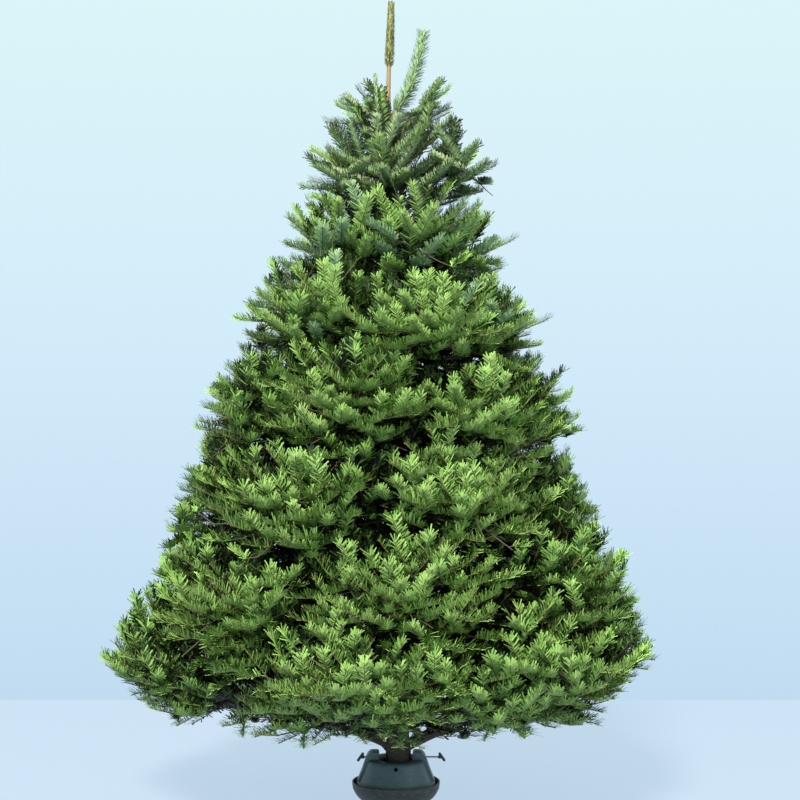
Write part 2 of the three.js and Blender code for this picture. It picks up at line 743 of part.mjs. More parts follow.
const boughs = growBoughs();
const shoots = growShoots();
const limbs = [...boughs, ...shoots];
limbs.forEach((bough) => {
  bough.points = pathPoints(bough);
});

const stand = new THREE.Group();
stand.add(meshOf('stand_dish', dishSolid(), materials.dish));
const shell = shellSolids();
stand.add(meshOf('stand_shell', shell.skirt, materials.shell));
stand.add(meshOf('stand_collar', shell.collar, materials.shell));

const trunkX = trunkCentre(SCREW_Z).x;
const trunkReach = trunkRadius(SCREW_Z) + CUT_GAP;
stand.add(meshOf('screw_right', screwSolid(trunkX + trunkReach, SCREW_RIGHT_END), materials.steel));
stand.add(meshOf('screw_left', screwSolid(trunkX - trunkReach, SCREW_LEFT_END), materials.steel));
stand.add(meshOf('grip_right', gripSolid(SCREW_RIGHT_END, 1), materials.grip));
stand.add(meshOf('grip_left', gripSolid(SCREW_LEFT_END, -1), materials.grip));
tree.add(stand);

tree.add(meshOf('trunk', trunkSolid(0), materials.bark));
boughs.filter((bough) => bough.bare > 0).forEach((bough, i) => {
  tree.add(meshOf(`bough_${i + 1}`, boughSolid(bough, trunkCutter), materials.bark));
});

const sprayDraws = new Draws(SPRAY_SEED);
boughs.forEach((bough) => {
  const solid = foliageSolid(bough, limbs, sprayDraws, trunkCutter);
  tree.add(meshOf(bough.name, solid, materials.needles));
});
shoots.forEach((shoot) => {
  tree.add(meshOf(shoot.name, shootSolid(shoot, trunkCutter), materials.shoots));
});

export default tree;
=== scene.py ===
"""A cut fir for Christmas in its water stand: boughs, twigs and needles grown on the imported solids.

Metres, +Z up, with the origin under the centre of the stand.
"""
import json
import math

import bmesh
import bpy
import numpy as np
from mathutils import Matrix, Vector, kdtree, noise

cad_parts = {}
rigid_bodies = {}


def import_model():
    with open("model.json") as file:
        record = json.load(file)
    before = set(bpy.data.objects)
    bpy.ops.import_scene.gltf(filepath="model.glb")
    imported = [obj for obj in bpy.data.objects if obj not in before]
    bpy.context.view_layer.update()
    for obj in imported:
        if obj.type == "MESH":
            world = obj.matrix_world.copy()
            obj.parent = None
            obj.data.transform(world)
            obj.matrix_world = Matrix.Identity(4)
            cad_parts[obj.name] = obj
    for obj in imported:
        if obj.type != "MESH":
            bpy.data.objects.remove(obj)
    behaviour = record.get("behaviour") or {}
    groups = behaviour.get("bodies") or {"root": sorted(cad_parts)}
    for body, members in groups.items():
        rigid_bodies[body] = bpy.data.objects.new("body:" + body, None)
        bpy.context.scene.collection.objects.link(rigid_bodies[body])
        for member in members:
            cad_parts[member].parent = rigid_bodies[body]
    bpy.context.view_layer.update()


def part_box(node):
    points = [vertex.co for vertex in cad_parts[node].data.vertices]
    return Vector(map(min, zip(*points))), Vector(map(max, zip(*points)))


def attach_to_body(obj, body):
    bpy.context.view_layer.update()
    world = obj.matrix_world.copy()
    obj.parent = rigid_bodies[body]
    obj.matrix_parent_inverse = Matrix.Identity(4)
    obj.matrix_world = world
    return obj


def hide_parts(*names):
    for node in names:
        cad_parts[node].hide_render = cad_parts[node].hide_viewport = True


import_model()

# The growing rule of the solids, with the same sizes and draws

TREE_TOP = 2.091
TRUNK_CUT_Z = 0.0143
TRUNK_END_Z = 1.945
TRUNK_FOOT_X = 0.008
TRUNK_LEAN = 0.029
TRUNK_LEAN_Z = 1.85
LEADER_RETURN = 0.008
TRUNK_BUTT_RADIUS = 0.0316
TRUNK_TOP_RADIUS = 0.0066
LEADER_BUTT_RADIUS = 0.0054
LEADER_TIP_RADIUS = 0.003
FLARE_RADIUS = 0.005
FLARE_HEIGHT = 0.045
YOUNG_TRUNK_Z = 1.83
LEADER_NEEDLES_Z = 1.865

CROWN_SHOULDER_Z = 1.84
CROWN_SHOULDER_RADIUS = 0.195
CROWN_SLOPE = 0.357
CROWN_LEFT_BIAS = 0.022
CROWN_WIDEST_Z = 0.385
CROWN_TUCK_SLOPE = 0.8
CROWN_FLOOR_Z = 0.222

# Height on the trunk, height of the tips, lift of the middle, and number of boughs
TIERS = [
    (0.135, 0.36, 0.045, 6),
    (0.435, 0.575, -0.012, 6),
    (0.69, 0.805, -0.014, 6),
    (0.93, 1.04, -0.014, 6),
    (1.165, 1.265, -0.012, 5),
    (1.38, 1.48, -0.01, 5),
    (1.59, 1.68, -0.008, 5),
    (1.765, 1.845, -0.006, 5),
]
BOUGH_SEED = 357
DRAW_FACTOR = 1664525
DRAW_STEP = 1013904223
DRAW_RANGE = 2 ** 32
FIRST_AZIMUTH = 0.35
AZIMUTH_JITTER = 0.16
ATTACH_JITTER = 0.022
TIP_JITTER = 0.034
REACH_SHORTEST = 0.9
REACH_LONGEST = 1.05
BARE_BOUGH_SHARE = 0.24
BOUGH_BUTT_SHARE = 0.34
BOUGH_TIP_RADIUS = 0.0032
GOLDEN_ANGLE = math.pi * (3 - math.sqrt(5))
FULL_TURN = 2 * math.pi
PATH_STEPS = 8
MIDDLE_SHARE = 0.45
FLATNESS = 1.35
POINTS_AT_ONCE = 3000

# Twigs, finer than the solids' and within the same reach; pairs are the ends of a range

TWIG_SEED = 41
TWIGS_PER_BOUGH = 16
TWIGS_PER_METRE = 90
TWIG_FROM = 0.12
TWIG_FROM_BARE = 0.62
TWIG_TO = 0.97
TWIG_SHORTEST = 0.05
TWIG_LEAST = 0.008
TWIG_LONGEST_SHARE = 0.55
TWIG_LIFT = (0.02, 0.16)
TWIG_SPACING = 0.03
TWIG_FINEST_LONGEST = (0.1, 0.22)
TWIG_RADIUS = 0.002
TWIG_TAPER = (1.25, 1.0, 0.75)
FINER_FROM = 0.1
FINER_THINNER = 0.75
TWIG_OPENING = (1.25, 0.75)
OPENING_SPREAD = (0.8, 1.12)
TWIG_FLATNESS = 0.85
FINER_OPENING = (0.65, 1.05)
FINER_FLATNESS = 0.8
END_SHOOTS = (0.08, 0.108)
PLACE_SPREAD = (0.25, 0.75)
COUNT_JITTER = 0.8
TURN_JITTER = 0.3
BETWEEN_FROM_Z = 0.42
BETWEEN_TO_Z = 1.86
BETWEEN_STEP = 0.006
BETWEEN_REACH_SHARE = 0.8
BETWEEN_LIFT = (0.75, 1.25)
MARCH_STEP = 0.012
SPACE_SLACK = 0.065
OUTLINE_SLACK = 1.03

# Zones of the crown, by height
LOW_Z = 0.48
EYE_Z = 1.0
TOP_FROM_Z = 1.3
TOP_RUN = 0.3
TOP_Z = 1.5
UP = np.array([0.0, 0.0, 1.0])
LEVEL = np.array([1.0, 1.0, 0.0])
NEARLY_UPRIGHT = 0.2
SIDE_OF_UPRIGHT = np.array([0.3, 1.0, 0.0])

# Shoots, and how they lean and lengthen with their height

SHOOT_SPACING = 0.022
SHOOT_LENGTHS = (0.056, 0.074, 0.096, 0.124)
SHOOT_RADIUS = 0.0011
SHOOT_TAPER = (1.4, 1.1, 0.8)
SHOOT_BEND = 0.12
SHOOT_BEND_LOW = 0.13
SIDE_FROM = 0.05
SIDE_OPENING = (0.6, 0.95)
SIDE_LIFT = (-0.25, 0.26)
SIDE_LENGTHS = (0.066, 0.104)
LOW_SHOOT_SHARE = 0.85
TOP_SHOOTS_LONGER = 0.32
END_SHOOT = 0.105
END_SHOOT_BESIDE = 0.09
BESIDE_SPREAD = 0.75
BESIDE_LIFT = 0.1
BOUGH_SHOOTS_FROM = 0.4
BOUGH_SHOOTS_TO = 0.97
BOUGH_SHOOT_OPENING = (0.6, 1.0)
BOUGH_SHOOT_LIFT = (-0.1, 0.3)
BOUGH_SHOOT_LENGTHS = (0.07, 0.1)
END_SHOOTS_LONGER = 0.25
LONG_ENDS_TO_Z = 1.6
HANGING_SHOOTS = 36
HANGING_FROM = 0.11
HANGING_TO = 0.7
HANGING_FLATNESS = 0.3
HANGING_OPENING = (0.5, 1.2)
HANGING_DROP = (0.1, 0.55)
HANGING_LENGTHS = (0.08, 0.11)
OUTWARD = 0.25
OUTWARD_LOW = 0.4
LEVEL_BELOW_Z = 1.5
LEVEL_OUTWARD = 0.2
STEEPEST = 0.72
WHORL_TOP_Z = 1.893
GAP_SPOTS = 30000
GAP_DEPTHS = (0.03, 0.3)
GAP_DEEPER_HIGH = 0.04
GAP_REACH = (0.05, 0.13)
GAP_TOP_Z = 1.76
GAP_ROOTS = (0.3, 0.65, 1.0)

# The order in which shoots are kept: those of the shortest wait first, and each a little its own
WAIT_BOUGH_END = -1.0
WAIT_HANGING = -0.2
WAIT_TWIG_END = 0.0
WAIT_BOUGH_SIDE = 0.03
WAIT_SIDE = 0.06
WAIT_GAP = 0.12
WAIT_SPREAD = 0.08

# Which shoots stay: depths are measured inwards from the crown's outline
SHELL_DEPTH = 0.4
SHELL_DEEPER_LOW = 0.2
PLAIN_DEPTH = 0.13
HIDDEN_DEPTH = 0.1
# Between the tips of the tiers the outline draws in, by so much for each metre away from a tip
SCALLOP = 0.1
SCALLOP_HIGH = 0.56
SCALLOP_FROM = 0.03
# Low shoots end short of the outline, and some hang below the crown's floor
INSET_LOW = 0.016
BELOW_FLOOR = 0.042
TRUNK_CLEAR = 0.05
# The top is hollow round the leader
CROWN_TOP_Z = 1.885
TOP_HOLLOW = 1.3
TOP_HOLLOW_RADIUS = 0.12
HOLLOW_DEEPER = 0.35
LEADER_CLEAR = 0.08
LEADER_CLEAR_Z = 1.82
# How steeply a shoot may hang
DROOP = -0.22
DROOP_LOW = -0.5
DROOP_HIDDEN = -0.7
# How far apart shoots stand, measured a little beyond their middles
SHOOT_MIDDLE = 0.55
SHOOT_GAP = 0.032
SHOOT_GAP_LOW = 0.0275
TOP_GAP_MORE = 0.014
SHOOT_GAP_INSIDE = 0.07
INSIDE_FROM = 0.06
INSIDE_RUN = 0.24
LOW_INSIDE_SHARE = 0.3

# Needles

NEEDLE_LENGTH = 0.023
NEEDLE_HALF_WIDTH = 0.0014
BLADE_SHARE = 0.8
NEEDLE_THICKNESS = 0.0007
NEEDLE_UPSWEEP = 0.3
NEEDLES_PER_METRE = 930
NEEDLE_SPREAD = 2.0
NEEDLE_ANGLES = (1.3, 0.8)
NEEDLE_ROOTS = (0.0007, 0.0007)
NEEDLE_RUFFLE = 0.12
RUFFLE_SHORTER = 1.6
RUFFLE_LONGER = 0.8
NEEDLE_PLACE = (0.2, 0.8)
NEEDLE_TURN_JITTER = 0.05
CLOSER_ON_TOP = 0.28
FACING_UP = 0.85
FACING_OUT = 0.45
END_SHORTER = 0.2
SHORT_FOR = 0.2
YOUNG_PART = 0.62
NEEDLE_TONES = np.array([0, -1, 0, 1, -2, 0, 0, -1, 1, 0, -1])
TEMPLATES_PER_LENGTH = 3
PIECE_TRIANGLES = 185000
BUD_DEPTH = 0.12
BUD_LENGTH = 0.0055
BUD_SUNK = 0.001
BUD_SHARES = np.array([0.0, 0.35, 1.0])
BUD_RADII = (0.001, 0.0017, 0.0001)
UPRIGHT_BUD_ALONG = np.array([-0.004, 0.0, 0.004, 0.0075])
UPRIGHT_BUD_RADII = (0.0026, 0.0034, 0.0028, 0.0003)
PATH_SHARES = np.array([0.0, 0.5, 1.0])

# How light a shoot is dealt: 0 is the deepest green and 3 the lightest; the darkening inwards and at
# the left and right flanks is painted shade
TONE_OUTSIDE = 3.9
TONE_LIGHTEST = 3
# Painted shade: tones taken off for each metre that a shoot lies inside the crown's outline, down to
# the depth DEEPEST
INNER_PAINTED_SHADE_PER_METRE = 23.0
TONE_SPREAD = 0.35
LOW_LIGHTER = 0.3
LIGHTER_BELOW_Z = 1.2
DEEPEST = 0.3
# Painted shade on the left and right flanks, measured along X from the middle as the camera sees them
FLANK_PAINTED_SHADE = 1.4
FLANK_FROM = 0.5
FLANK_RUN = 0.35
STEEP_DARKER = 1.2
STEEP_FROM = 0.45
STEEP_RUN = 0.3
HIGH_DARKER = 0.9
BLUISH_FROM_Z = 1.2
BLUISH_PER_METRE = 0.9
MOST_BLUISH = 0.5

# Bark

ROUGH_SCALE = 45
CRACKS_ACROSS = 90
CRACKS_ALONG = 38
TRUNK_SEED = 3.0
BARE_BOUGH_SEED = 9.0
TRUNK_RINGS = 300
RINGS_CLOSER_LOW = 1.5
TRUNK_SIDES = 44
TRUNK_RELIEF = 0.0006
BOUGH_RINGS = 60
BOUGH_SIDES = 20
BOUGH_RELIEF = 0.0004
BARK_SHARP = 60
WHORL_SWELL = 0.0006
WHORL_REACH = 0.02
COLLAR_THICKER = 0.45
COLLAR_REACH = 0.18
FIRST_SHARE = 0.02

# Stand

DISH_FOOT_RADIUS = 0.084
DISH_RIM_RADIUS = 0.115
DISH_RIM_Z = 0.058
DISH_FLOOR = 0.006
BOSS_RADIUS = 0.048
WALL = 0.004
STEP = 0.0003
SHELL_TOP_Z = 0.117
SHELL_MOUTH_RADIUS = 0.045
FLARE_LINE = [(0.104, 0.055), (0.098, 0.061), (0.087, 0.087), (0.079, 0.111)]
POST_WIDTH = 0.048
POST_TOP_Z = 0.1365
POST_INNER_X = 0.044
POST_FOOT_Z = 0.104
POST_SUNK = 0.0025
RIB_HEIGHT = 0.003
LIP_HOLE_RADIUS = 0.005
LIP_HOLE_Z = 0.104
SCREW_Z = 0.1205
SCREW_RADIUS = 0.0026
SCREW_BORE_RADIUS = 0.00305
SCREW_RIGHT_END = 0.116
SCREW_LEFT_END = -0.0885
GRIP_LENGTH = 0.027
GRIP_THICKNESS = 0.007
GRIP_TILT = 0.62
GRIP_HUB_RADIUS = 0.0046
GRIP_HUB_LENGTH = 0.006
GRIP_DEPTH = 0.005
THREAD_PITCH = 0.001
THREAD_DEPTH = 0.00035
SCREW_CHAMFER = 0.0006
SCREW_STEPS = 20
THREAD_LEAD = 0.0004
THREAD_SHARE = 0.99
SPIN_STEPS = 96
ROD_SIDES = 32
CORNER_REACH = 0.45
DISH_ROUNDING = 0.004
SHELL_ROUNDING = 0.003
POST_ROUNDING = 0.006
POST_EDGE = 0.0075
GRIP_EDGE = 0.0026
HUB_EDGE = 0.0008
TINY = 1e-6

# Camera and sky: level, at the height and distance that the photo was taken from

LENS = 77.6
SENSOR = 36
CAMERA = (0.0105, -4.52, 1.056)
STAGE_HALF = 1.55
SKY_FROM = -0.2
SKY_TO = 0.25


class Draws:
    """The seeded draws of the solids' growing rule."""

    def __init__(self, seed):
        self.state = seed

    def next(self):
        self.state = (self.state * DRAW_FACTOR + DRAW_STEP) % DRAW_RANGE
        return self.state / DRAW_RANGE

    def between(self, low, high):
        return low + (high - low) * self.next()


def trunk_centre(z):
    leaning = np.minimum(np.asarray(z) / TRUNK_LEAN_Z, 1)
    back = np.maximum(0, (np.asarray(z) - TRUNK_LEAN_Z) / (TREE_TOP - TRUNK_LEAN_Z))
    x = TRUNK_FOOT_X - TRUNK_LEAN * leaning + LEADER_RETURN * back
    return np.stack([x, 0 * x, np.asarray(z) + 0 * x], -1)


def trunk_radius(z):
    share = np.minimum(z / TRUNK_LEAN_Z, 1)
    above = np.maximum(0, (z - TRUNK_LEAN_Z) / (TREE_TOP - TRUNK_LEAN_Z))
    taper = TRUNK_BUTT_RADIUS + (TRUNK_TOP_RADIUS - TRUNK_BUTT_RADIUS) * share
    flare = FLARE_RADIUS * np.exp(-(z - TRUNK_CUT_Z) / FLARE_HEIGHT)
    return taper + flare + (LEADER_TIP_RADIUS - TRUNK_TOP_RADIUS) * above


def crown_radius(z, azimuth):
    slope = CROWN_SLOPE - CROWN_LEFT_BIAS * np.cos(azimuth)
    height = np.maximum(z, CROWN_WIDEST_Z)
    tuck = CROWN_TUCK_SLOPE * np.maximum(0, CROWN_WIDEST_Z - z)
    return CROWN_SHOULDER_RADIUS + slope * (CROWN_SHOULDER_Z - height) - tuck


class Bough:
    """One limb of the crown: a curve from the trunk to its furthest tip."""

    def __init__(self, name, foot, middle, tip, butt_radius, share=1.0, bare=0.0):
        self.name = name
        self.ends = [np.asarray(p, float) for p in (foot, middle, tip)]
        self.butt_radius = butt_radius
        self.share = share
        self.bare = bare
        self.reach = float(np.hypot(tip[0], tip[1]))
        steps = self.point(np.linspace(0, 1, 33))
        self.length = float(np.linalg.norm(np.diff(steps, axis=0), axis=1).sum())

    def point(self, t):
        t = np.asarray(t, float)[..., None]
        foot, middle, tip = self.ends
        return (1 - t) ** 2 * foot + 2 * t * (1 - t) * middle + t ** 2 * tip

    def tangent(self, t):
        t = np.asarray(t, float)[..., None]
        foot, middle, tip = self.ends
        return unit(2 * (1 - t) * (middle - foot) + 2 * t * (tip - middle))

    def radius(self, t):
        return self.butt_radius + (BOUGH_TIP_RADIUS - self.butt_radius) * np.asarray(t)


def unit(vectors):
    return vectors / np.linalg.norm(vectors, axis=-1, keepdims=True)


def rise(values, start, run):
    """From 0 at the start to 1 at the end of the run."""
    return np.clip((values - start) / run, 0, 1)


def grow_boughs():
    draws = Draws(BOUGH_SEED)
    boughs = []
    for level, (attach, tip_z, lift, count) in enumerate(TIERS):
        for i in range(count):
            turn = (i + AZIMUTH_JITTER * draws.between(-1, 1)) / count
            azimuth = FIRST_AZIMUTH + level * GOLDEN_ANGLE + turn * FULL_TURN
            start = attach + ATTACH_JITTER * draws.between(-1, 1)
            end = tip_z + TIP_JITTER * draws.between(-1, 1)
            share = draws.between(REACH_SHORTEST, REACH_LONGEST)
            reach = share * float(crown_radius(end, azimuth))
            foot = trunk_centre(start)
            tip = np.array([reach * math.cos(azimuth), reach * math.sin(azimuth), end])
            middle = foot + MIDDLE_SHARE * (tip - foot)
            middle[2] = (start + end) / 2 + lift
            boughs.append(Bough(
                f"foliage_{level + 1}_{i + 1}", foot, middle, tip,
                BOUGH_BUTT_SHARE * float(trunk_radius(start)), share,
                BARE_BOUGH_SHARE if level == 0 else 0.0,
            ))
    return boughs


def leader_from(z):
    """The upright top shoot, from some height on the trunk's own line to the top."""
    foot = trunk_centre(z)
    tip = trunk_centre(TREE_TOP)
    return Bough("leader_tip", foot, (foot + tip) / 2, tip, LEADER_BUTT_RADIUS)


# Own space: what lies nearer to a bough than to any other

BOUGHS = grow_boughs()
SIDE_LEADER = Bough(
    "side_leader", trunk_centre(1.797), (0.048, -0.01, 1.845), (0.07, -0.016, 2.012), 0.0044)
LIMBS = [*BOUGHS, leader_from(TRUNK_END_Z), SIDE_LEADER]
SHARES = np.array([limb.share for limb in LIMBS])
TIP_HEIGHTS = np.array([limb.ends[2][2] for limb in LIMBS])
SQUEEZE = np.array([1, 1, FLATNESS])
LIMB_POINTS = np.stack([limb.point(np.linspace(0, 1, PATH_STEPS + 1)) for limb in LIMBS]) * SQUEEZE


def flat_distances(points):
    """Distance from each point to each limb, with heights stretched by the flatness."""
    starts = LIMB_POINTS[:, :-1]
    runs = LIMB_POINTS[:, 1:] - starts
    square = (runs ** 2).sum(-1)
    nearest = []
    for block in np.array_split(points * SQUEEZE, max(1, len(points) // POINTS_AT_ONCE)):
        offset = block[:, None, None] - starts
        along = np.clip((offset * runs).sum(-1) / square, 0, 1)
        gap = np.linalg.norm(offset - along[..., None] * runs, axis=-1)
        nearest.append(gap.min(-1))
    return np.concatenate(nearest)


def depth_of(points, owners, slack=1.0):
    """How far each point is inside the outline that its bough reaches."""
    azimuth = np.arctan2(points[:, 1], points[:, 0])
    outline = slack * SHARES[owners] * crown_radius(points[:, 2], azimuth)
    return outline - np.hypot(points[:, 0], points[:, 1])


def is_own_space(points, owners):
    distances = flat_distances(points)
    own = distances[np.arange(len(points)), owners].copy()
    distances[np.arange(len(points)), owners] = np.inf
    inside = depth_of(points, owners, OUTLINE_SLACK) > 0
    return inside & (points[:, 2] > CROWN_FLOOR_Z) & (own < distances.min(1) + SPACE_SLACK)


def march(starts, directions, farthest, owners):
    """How far each straight twig stays in its bough's own space."""
    reach = np.zeros(len(starts))
    growing = np.ones(len(starts), bool)
    for step in range(1, int(farthest.max() / MARCH_STEP) + 1):
        far = step * MARCH_STEP
        growing &= far <= farthest
        if not growing.any():
            break
        ends = starts[growing] + directions[growing] * far
        inside = is_own_space(ends, owners[growing])
        index = np.flatnonzero(growing)
        reach[index[inside]] = far
        growing[index[~inside]] = False
    return reach


# Twigs and shoots

class Twigs:
    """Twigs that set off straight and rise a little on their way."""

    def __init__(self, start, direction, length, lift, owner, parent):
        self.start = start
        self.direction = direction
        self.length = length
        self.lift = lift
        self.owner = owner
        self.parent = parent

    def point(self, index, t):
        run = self.length[index] * t
        ahead = self.start[index] + self.direction[index] * run[:, None]
        return ahead + UP * (self.lift[index] * run * t)[:, None]

    def heading(self, index, t):
        return unit(self.direction[index] + UP * (2 * self.lift[index] * t)[:, None])


def across(directions):
    """The level direction to the side and the upper direction, at each place along a limb."""
    side = np.cross(UP, directions)
    steep = np.linalg.norm(side, axis=-1) < NEARLY_UPRIGHT
    side[steep] = np.cross(SIDE_OF_UPRIGHT, directions[steep])
    side = unit(side)
    return side, np.cross(directions, side)


def turned(along, turn, flat, opening):
    """A direction that opens from the parent's, at some turn about it."""
    side, over = across(along)
    aside = unit(side * np.cos(turn)[:, None] + over * flat * np.sin(turn)[:, None])
    return unit(along * np.cos(opening)[:, None] + aside * np.sin(opening)[:, None])


def places_along(count, first, last, rng):
    """Places along a bough, spaced evenly but for some jitter, and the turn of each about it."""
    t = first + (last - first) * (np.arange(count) + rng.random(count)) / count
    return t, np.arange(count) * GOLDEN_ANGLE


def places_on(length, spacing, first, rng):
    """Which twig, which place on it, and which turn, for growth spaced along every twig."""
    count = ((1 - first) * length / spacing + rng.random(len(length)) * COUNT_JITTER).astype(int)
    index = np.repeat(np.arange(len(count)), count)
    rank = np.arange(len(index)) - np.repeat(np.cumsum(count) - count, count)
    t = first + (1 - first) * (rank + rng.uniform(*PLACE_SPREAD, len(index))) / count[index]
    turn = (rank + 3 * index) * GOLDEN_ANGLE + rng.uniform(-TURN_JITTER, TURN_JITTER, len(index))
    return index, t, turn


def twigs_within(start, direction, farthest, owner, parent, rng):
    """Twigs cut to the room that they have, and the shoot that ends each."""
    room = march(start, direction, farthest, owner)
    keep = room > TWIG_SHORTEST
    start, direction, room = start[keep], direction[keep], room[keep]
    owner, parent = owner[keep], parent[keep]
    end_shoot = np.minimum(rng.uniform(*END_SHOOTS, len(room)), room)
    length = np.maximum(room - end_shoot, TWIG_LEAST)
    lift = rng.uniform(*TWIG_LIFT, len(room))
    return Twigs(start, direction, length, lift, owner, parent), end_shoot


def grow_first_twigs(rng):
    """Twigs that leave each bough all round, by the golden angle, and end where its space ends.

    Others leave the trunk itself between the tiers.
    """
    start, direction, owner, farthest = [], [], [], []
    for number, bough in enumerate(BOUGHS):
        count = round(TWIGS_PER_BOUGH + TWIGS_PER_METRE * bough.reach)
        first = max(TWIG_FROM, TWIG_FROM_BARE * bough.bare)
        t, turn = places_along(count, first, TWIG_TO, rng)
        turn = turn + rng.uniform(-TURN_JITTER, TURN_JITTER, count)
        opening = TWIG_OPENING[0] + (TWIG_OPENING[1] - TWIG_OPENING[0]) * t
        opening = opening * rng.uniform(*OPENING_SPREAD, count)
        start.append(bough.point(t))
        direction.append(turned(bough.tangent(t), turn, TWIG_FLATNESS, opening))
        owner.append(np.full(count, number))
        farthest.append(np.full(count, TWIG_LONGEST_SHARE * bough.reach))
    z = np.arange(BETWEEN_FROM_Z, BETWEEN_TO_Z, BETWEEN_STEP)
    turn = np.arange(len(z)) * GOLDEN_ANGLE
    outward = np.stack([np.cos(turn), np.sin(turn), rng.uniform(*BETWEEN_LIFT, len(z))], -1)
    start.append(trunk_centre(z))
    direction.append(unit(outward))
    # Those nearest to an upright shoot are dealt to a far bough, so that they find no room to grow
    owner.append(flat_distances(trunk_centre(z) + 0.1 * unit(outward)).argmin(1) % len(BOUGHS))
    farthest.append(BETWEEN_REACH_SHARE * crown_radius(z, turn))
    start, direction = np.concatenate(start), np.concatenate(direction)
    owner, farthest = np.concatenate(owner), np.concatenate(farthest)
    return twigs_within(start, direction, farthest, owner, np.full(len(owner), -1), rng)


def grow_finer_twigs(first, rng):
    index, t, turn = places_on(first.length, TWIG_SPACING, FINER_FROM, rng)
    opening = rng.uniform(*FINER_OPENING, len(index))
    direction = turned(first.heading(index, t), turn, FINER_FLATNESS, opening)
    farthest = rng.uniform(*TWIG_FINEST_LONGEST, len(index))
    return twigs_within(first.point(index, t), direction, farthest, first.owner[index], index, rng)


class Shoots:
    """Needle shoots: where each leaves its twig, which way, and how far it grows."""

    def __init__(self):
        self.parts = {"base": [], "axis": [], "length": [], "owner": [], "twig": [], "wait": []}

    def add(self, base, axis, length, owner, twig, wait):
        """Adds a shoot for every axis; what is the same for all of them is given once."""
        single = {"length": length, "owner": owner, "twig": twig, "wait": wait}
        self.parts["base"].append(np.broadcast_to(base, axis.shape))
        self.parts["axis"].append(axis)
        for key, value in single.items():
            self.parts[key].append(np.broadcast_to(value, len(axis)))

    def join(self):
        """Turns the parts added so far into one array of each kind."""
        for key, parts in self.parts.items():
            setattr(self, key, np.concatenate(parts))

    def keep(self, chosen):
        for key in [*self.parts, "depth"]:
            setattr(self, key, getattr(self, key)[chosen])


def add_end_shoots(shoots, twigs, sizes, offset):
    index = np.arange(len(sizes))
    ends = np.ones(len(sizes))
    shoots.add(twigs.point(index, ends), twigs.heading(index, ends), sizes, twigs.owner,
               index + offset, WAIT_TWIG_END)


def add_side_shoots(shoots, twigs, offset, rng):
    index, t, turn = places_on(twigs.length, SHOOT_SPACING, SIDE_FROM, rng)
    opening = rng.uniform(*SIDE_OPENING, len(index))
    axis = turned(twigs.heading(index, t), turn, FINER_FLATNESS, opening)
    base = twigs.point(index, t)
    outward = unit(base * LEVEL)
    lean = np.where(base[:, 2] < EYE_Z, OUTWARD_LOW, OUTWARD)
    axis = axis + outward * lean[:, None] + UP * rng.uniform(*SIDE_LIFT, len(index))[:, None]
    size = rng.uniform(*SIDE_LENGTHS, len(index))
    shoots.add(base, unit(axis), size, twigs.owner[index], index + offset, WAIT_SIDE)


def add_bough_shoots(shoots, rng):
    """The shoots at the end of each bough, and those that stand along its outer part."""
    for number, bough in enumerate(BOUGHS):
        end = 1 - END_SHOOT / bough.length
        heading = bough.tangent(end)
        side = BESIDE_SPREAD * unit(np.cross(UP, heading))
        lift = BESIDE_LIFT * UP
        axes = unit(np.array([heading, heading + side + lift, heading - side + lift]))
        sizes = (END_SHOOT, END_SHOOT_BESIDE, END_SHOOT_BESIDE)
        shoots.add(bough.point(end), axes, sizes, number, -1, WAIT_BOUGH_END)
        count = int(bough.length * (1 - BOUGH_SHOOTS_FROM) / SHOOT_SPACING)
        t, turn = places_along(count, BOUGH_SHOOTS_FROM, BOUGH_SHOOTS_TO, rng)
        axis = turned(bough.tangent(t), turn, 1.0, rng.uniform(*BOUGH_SHOOT_OPENING, count))
        axis = unit(axis + UP * rng.uniform(*BOUGH_SHOOT_LIFT, count)[:, None])
        size = rng.uniform(*BOUGH_SHOOT_LENGTHS, count)
        shoots.add(bough.point(t), axis, size, number, -1, WAIT_BOUGH_SIDE)
        if bough.bare > 0:
            add_hanging_shoots(shoots, bough, number, rng)


def add_hanging_shoots(shoots, bough, number, rng):
    """Short shoots that hang from the inner part of a lowest bough."""
    count = HANGING_SHOOTS
    t, turn = places_along(count, HANGING_FROM, HANGING_TO, rng)
    axis = turned(bough.tangent(t), turn, HANGING_FLATNESS, rng.uniform(*HANGING_OPENING, count))
    axis = unit(axis - UP * rng.uniform(*HANGING_DROP, count)[:, None])
    size = rng.uniform(*HANGING_LENGTHS, count)
    shoots.add(bough.point(t), axis, size, number, -1, WAIT_HANGING)


def gap_spots(rng):
    """Places strewn inside the outline, more of them low and near it."""
    height = (GAP_TOP_Z - CROWN_FLOOR_Z) * (1 - np.sqrt(rng.random(GAP_SPOTS)))
    azimuth = FULL_TURN * rng.random(GAP_SPOTS)
    z = CROWN_FLOOR_Z + height
    depth = GAP_DEPTHS[0] + (GAP_DEPTHS[1] - GAP_DEPTHS[0]) * rng.random(GAP_SPOTS) ** 2
    radius = crown_radius(z, azimuth) - depth
    radius = radius - GAP_DEEPER_HIGH * rise(z, EYE_Z, 0.4)
    return np.stack([radius * np.cos(azimuth), radius * np.sin(azimuth), z], -1)


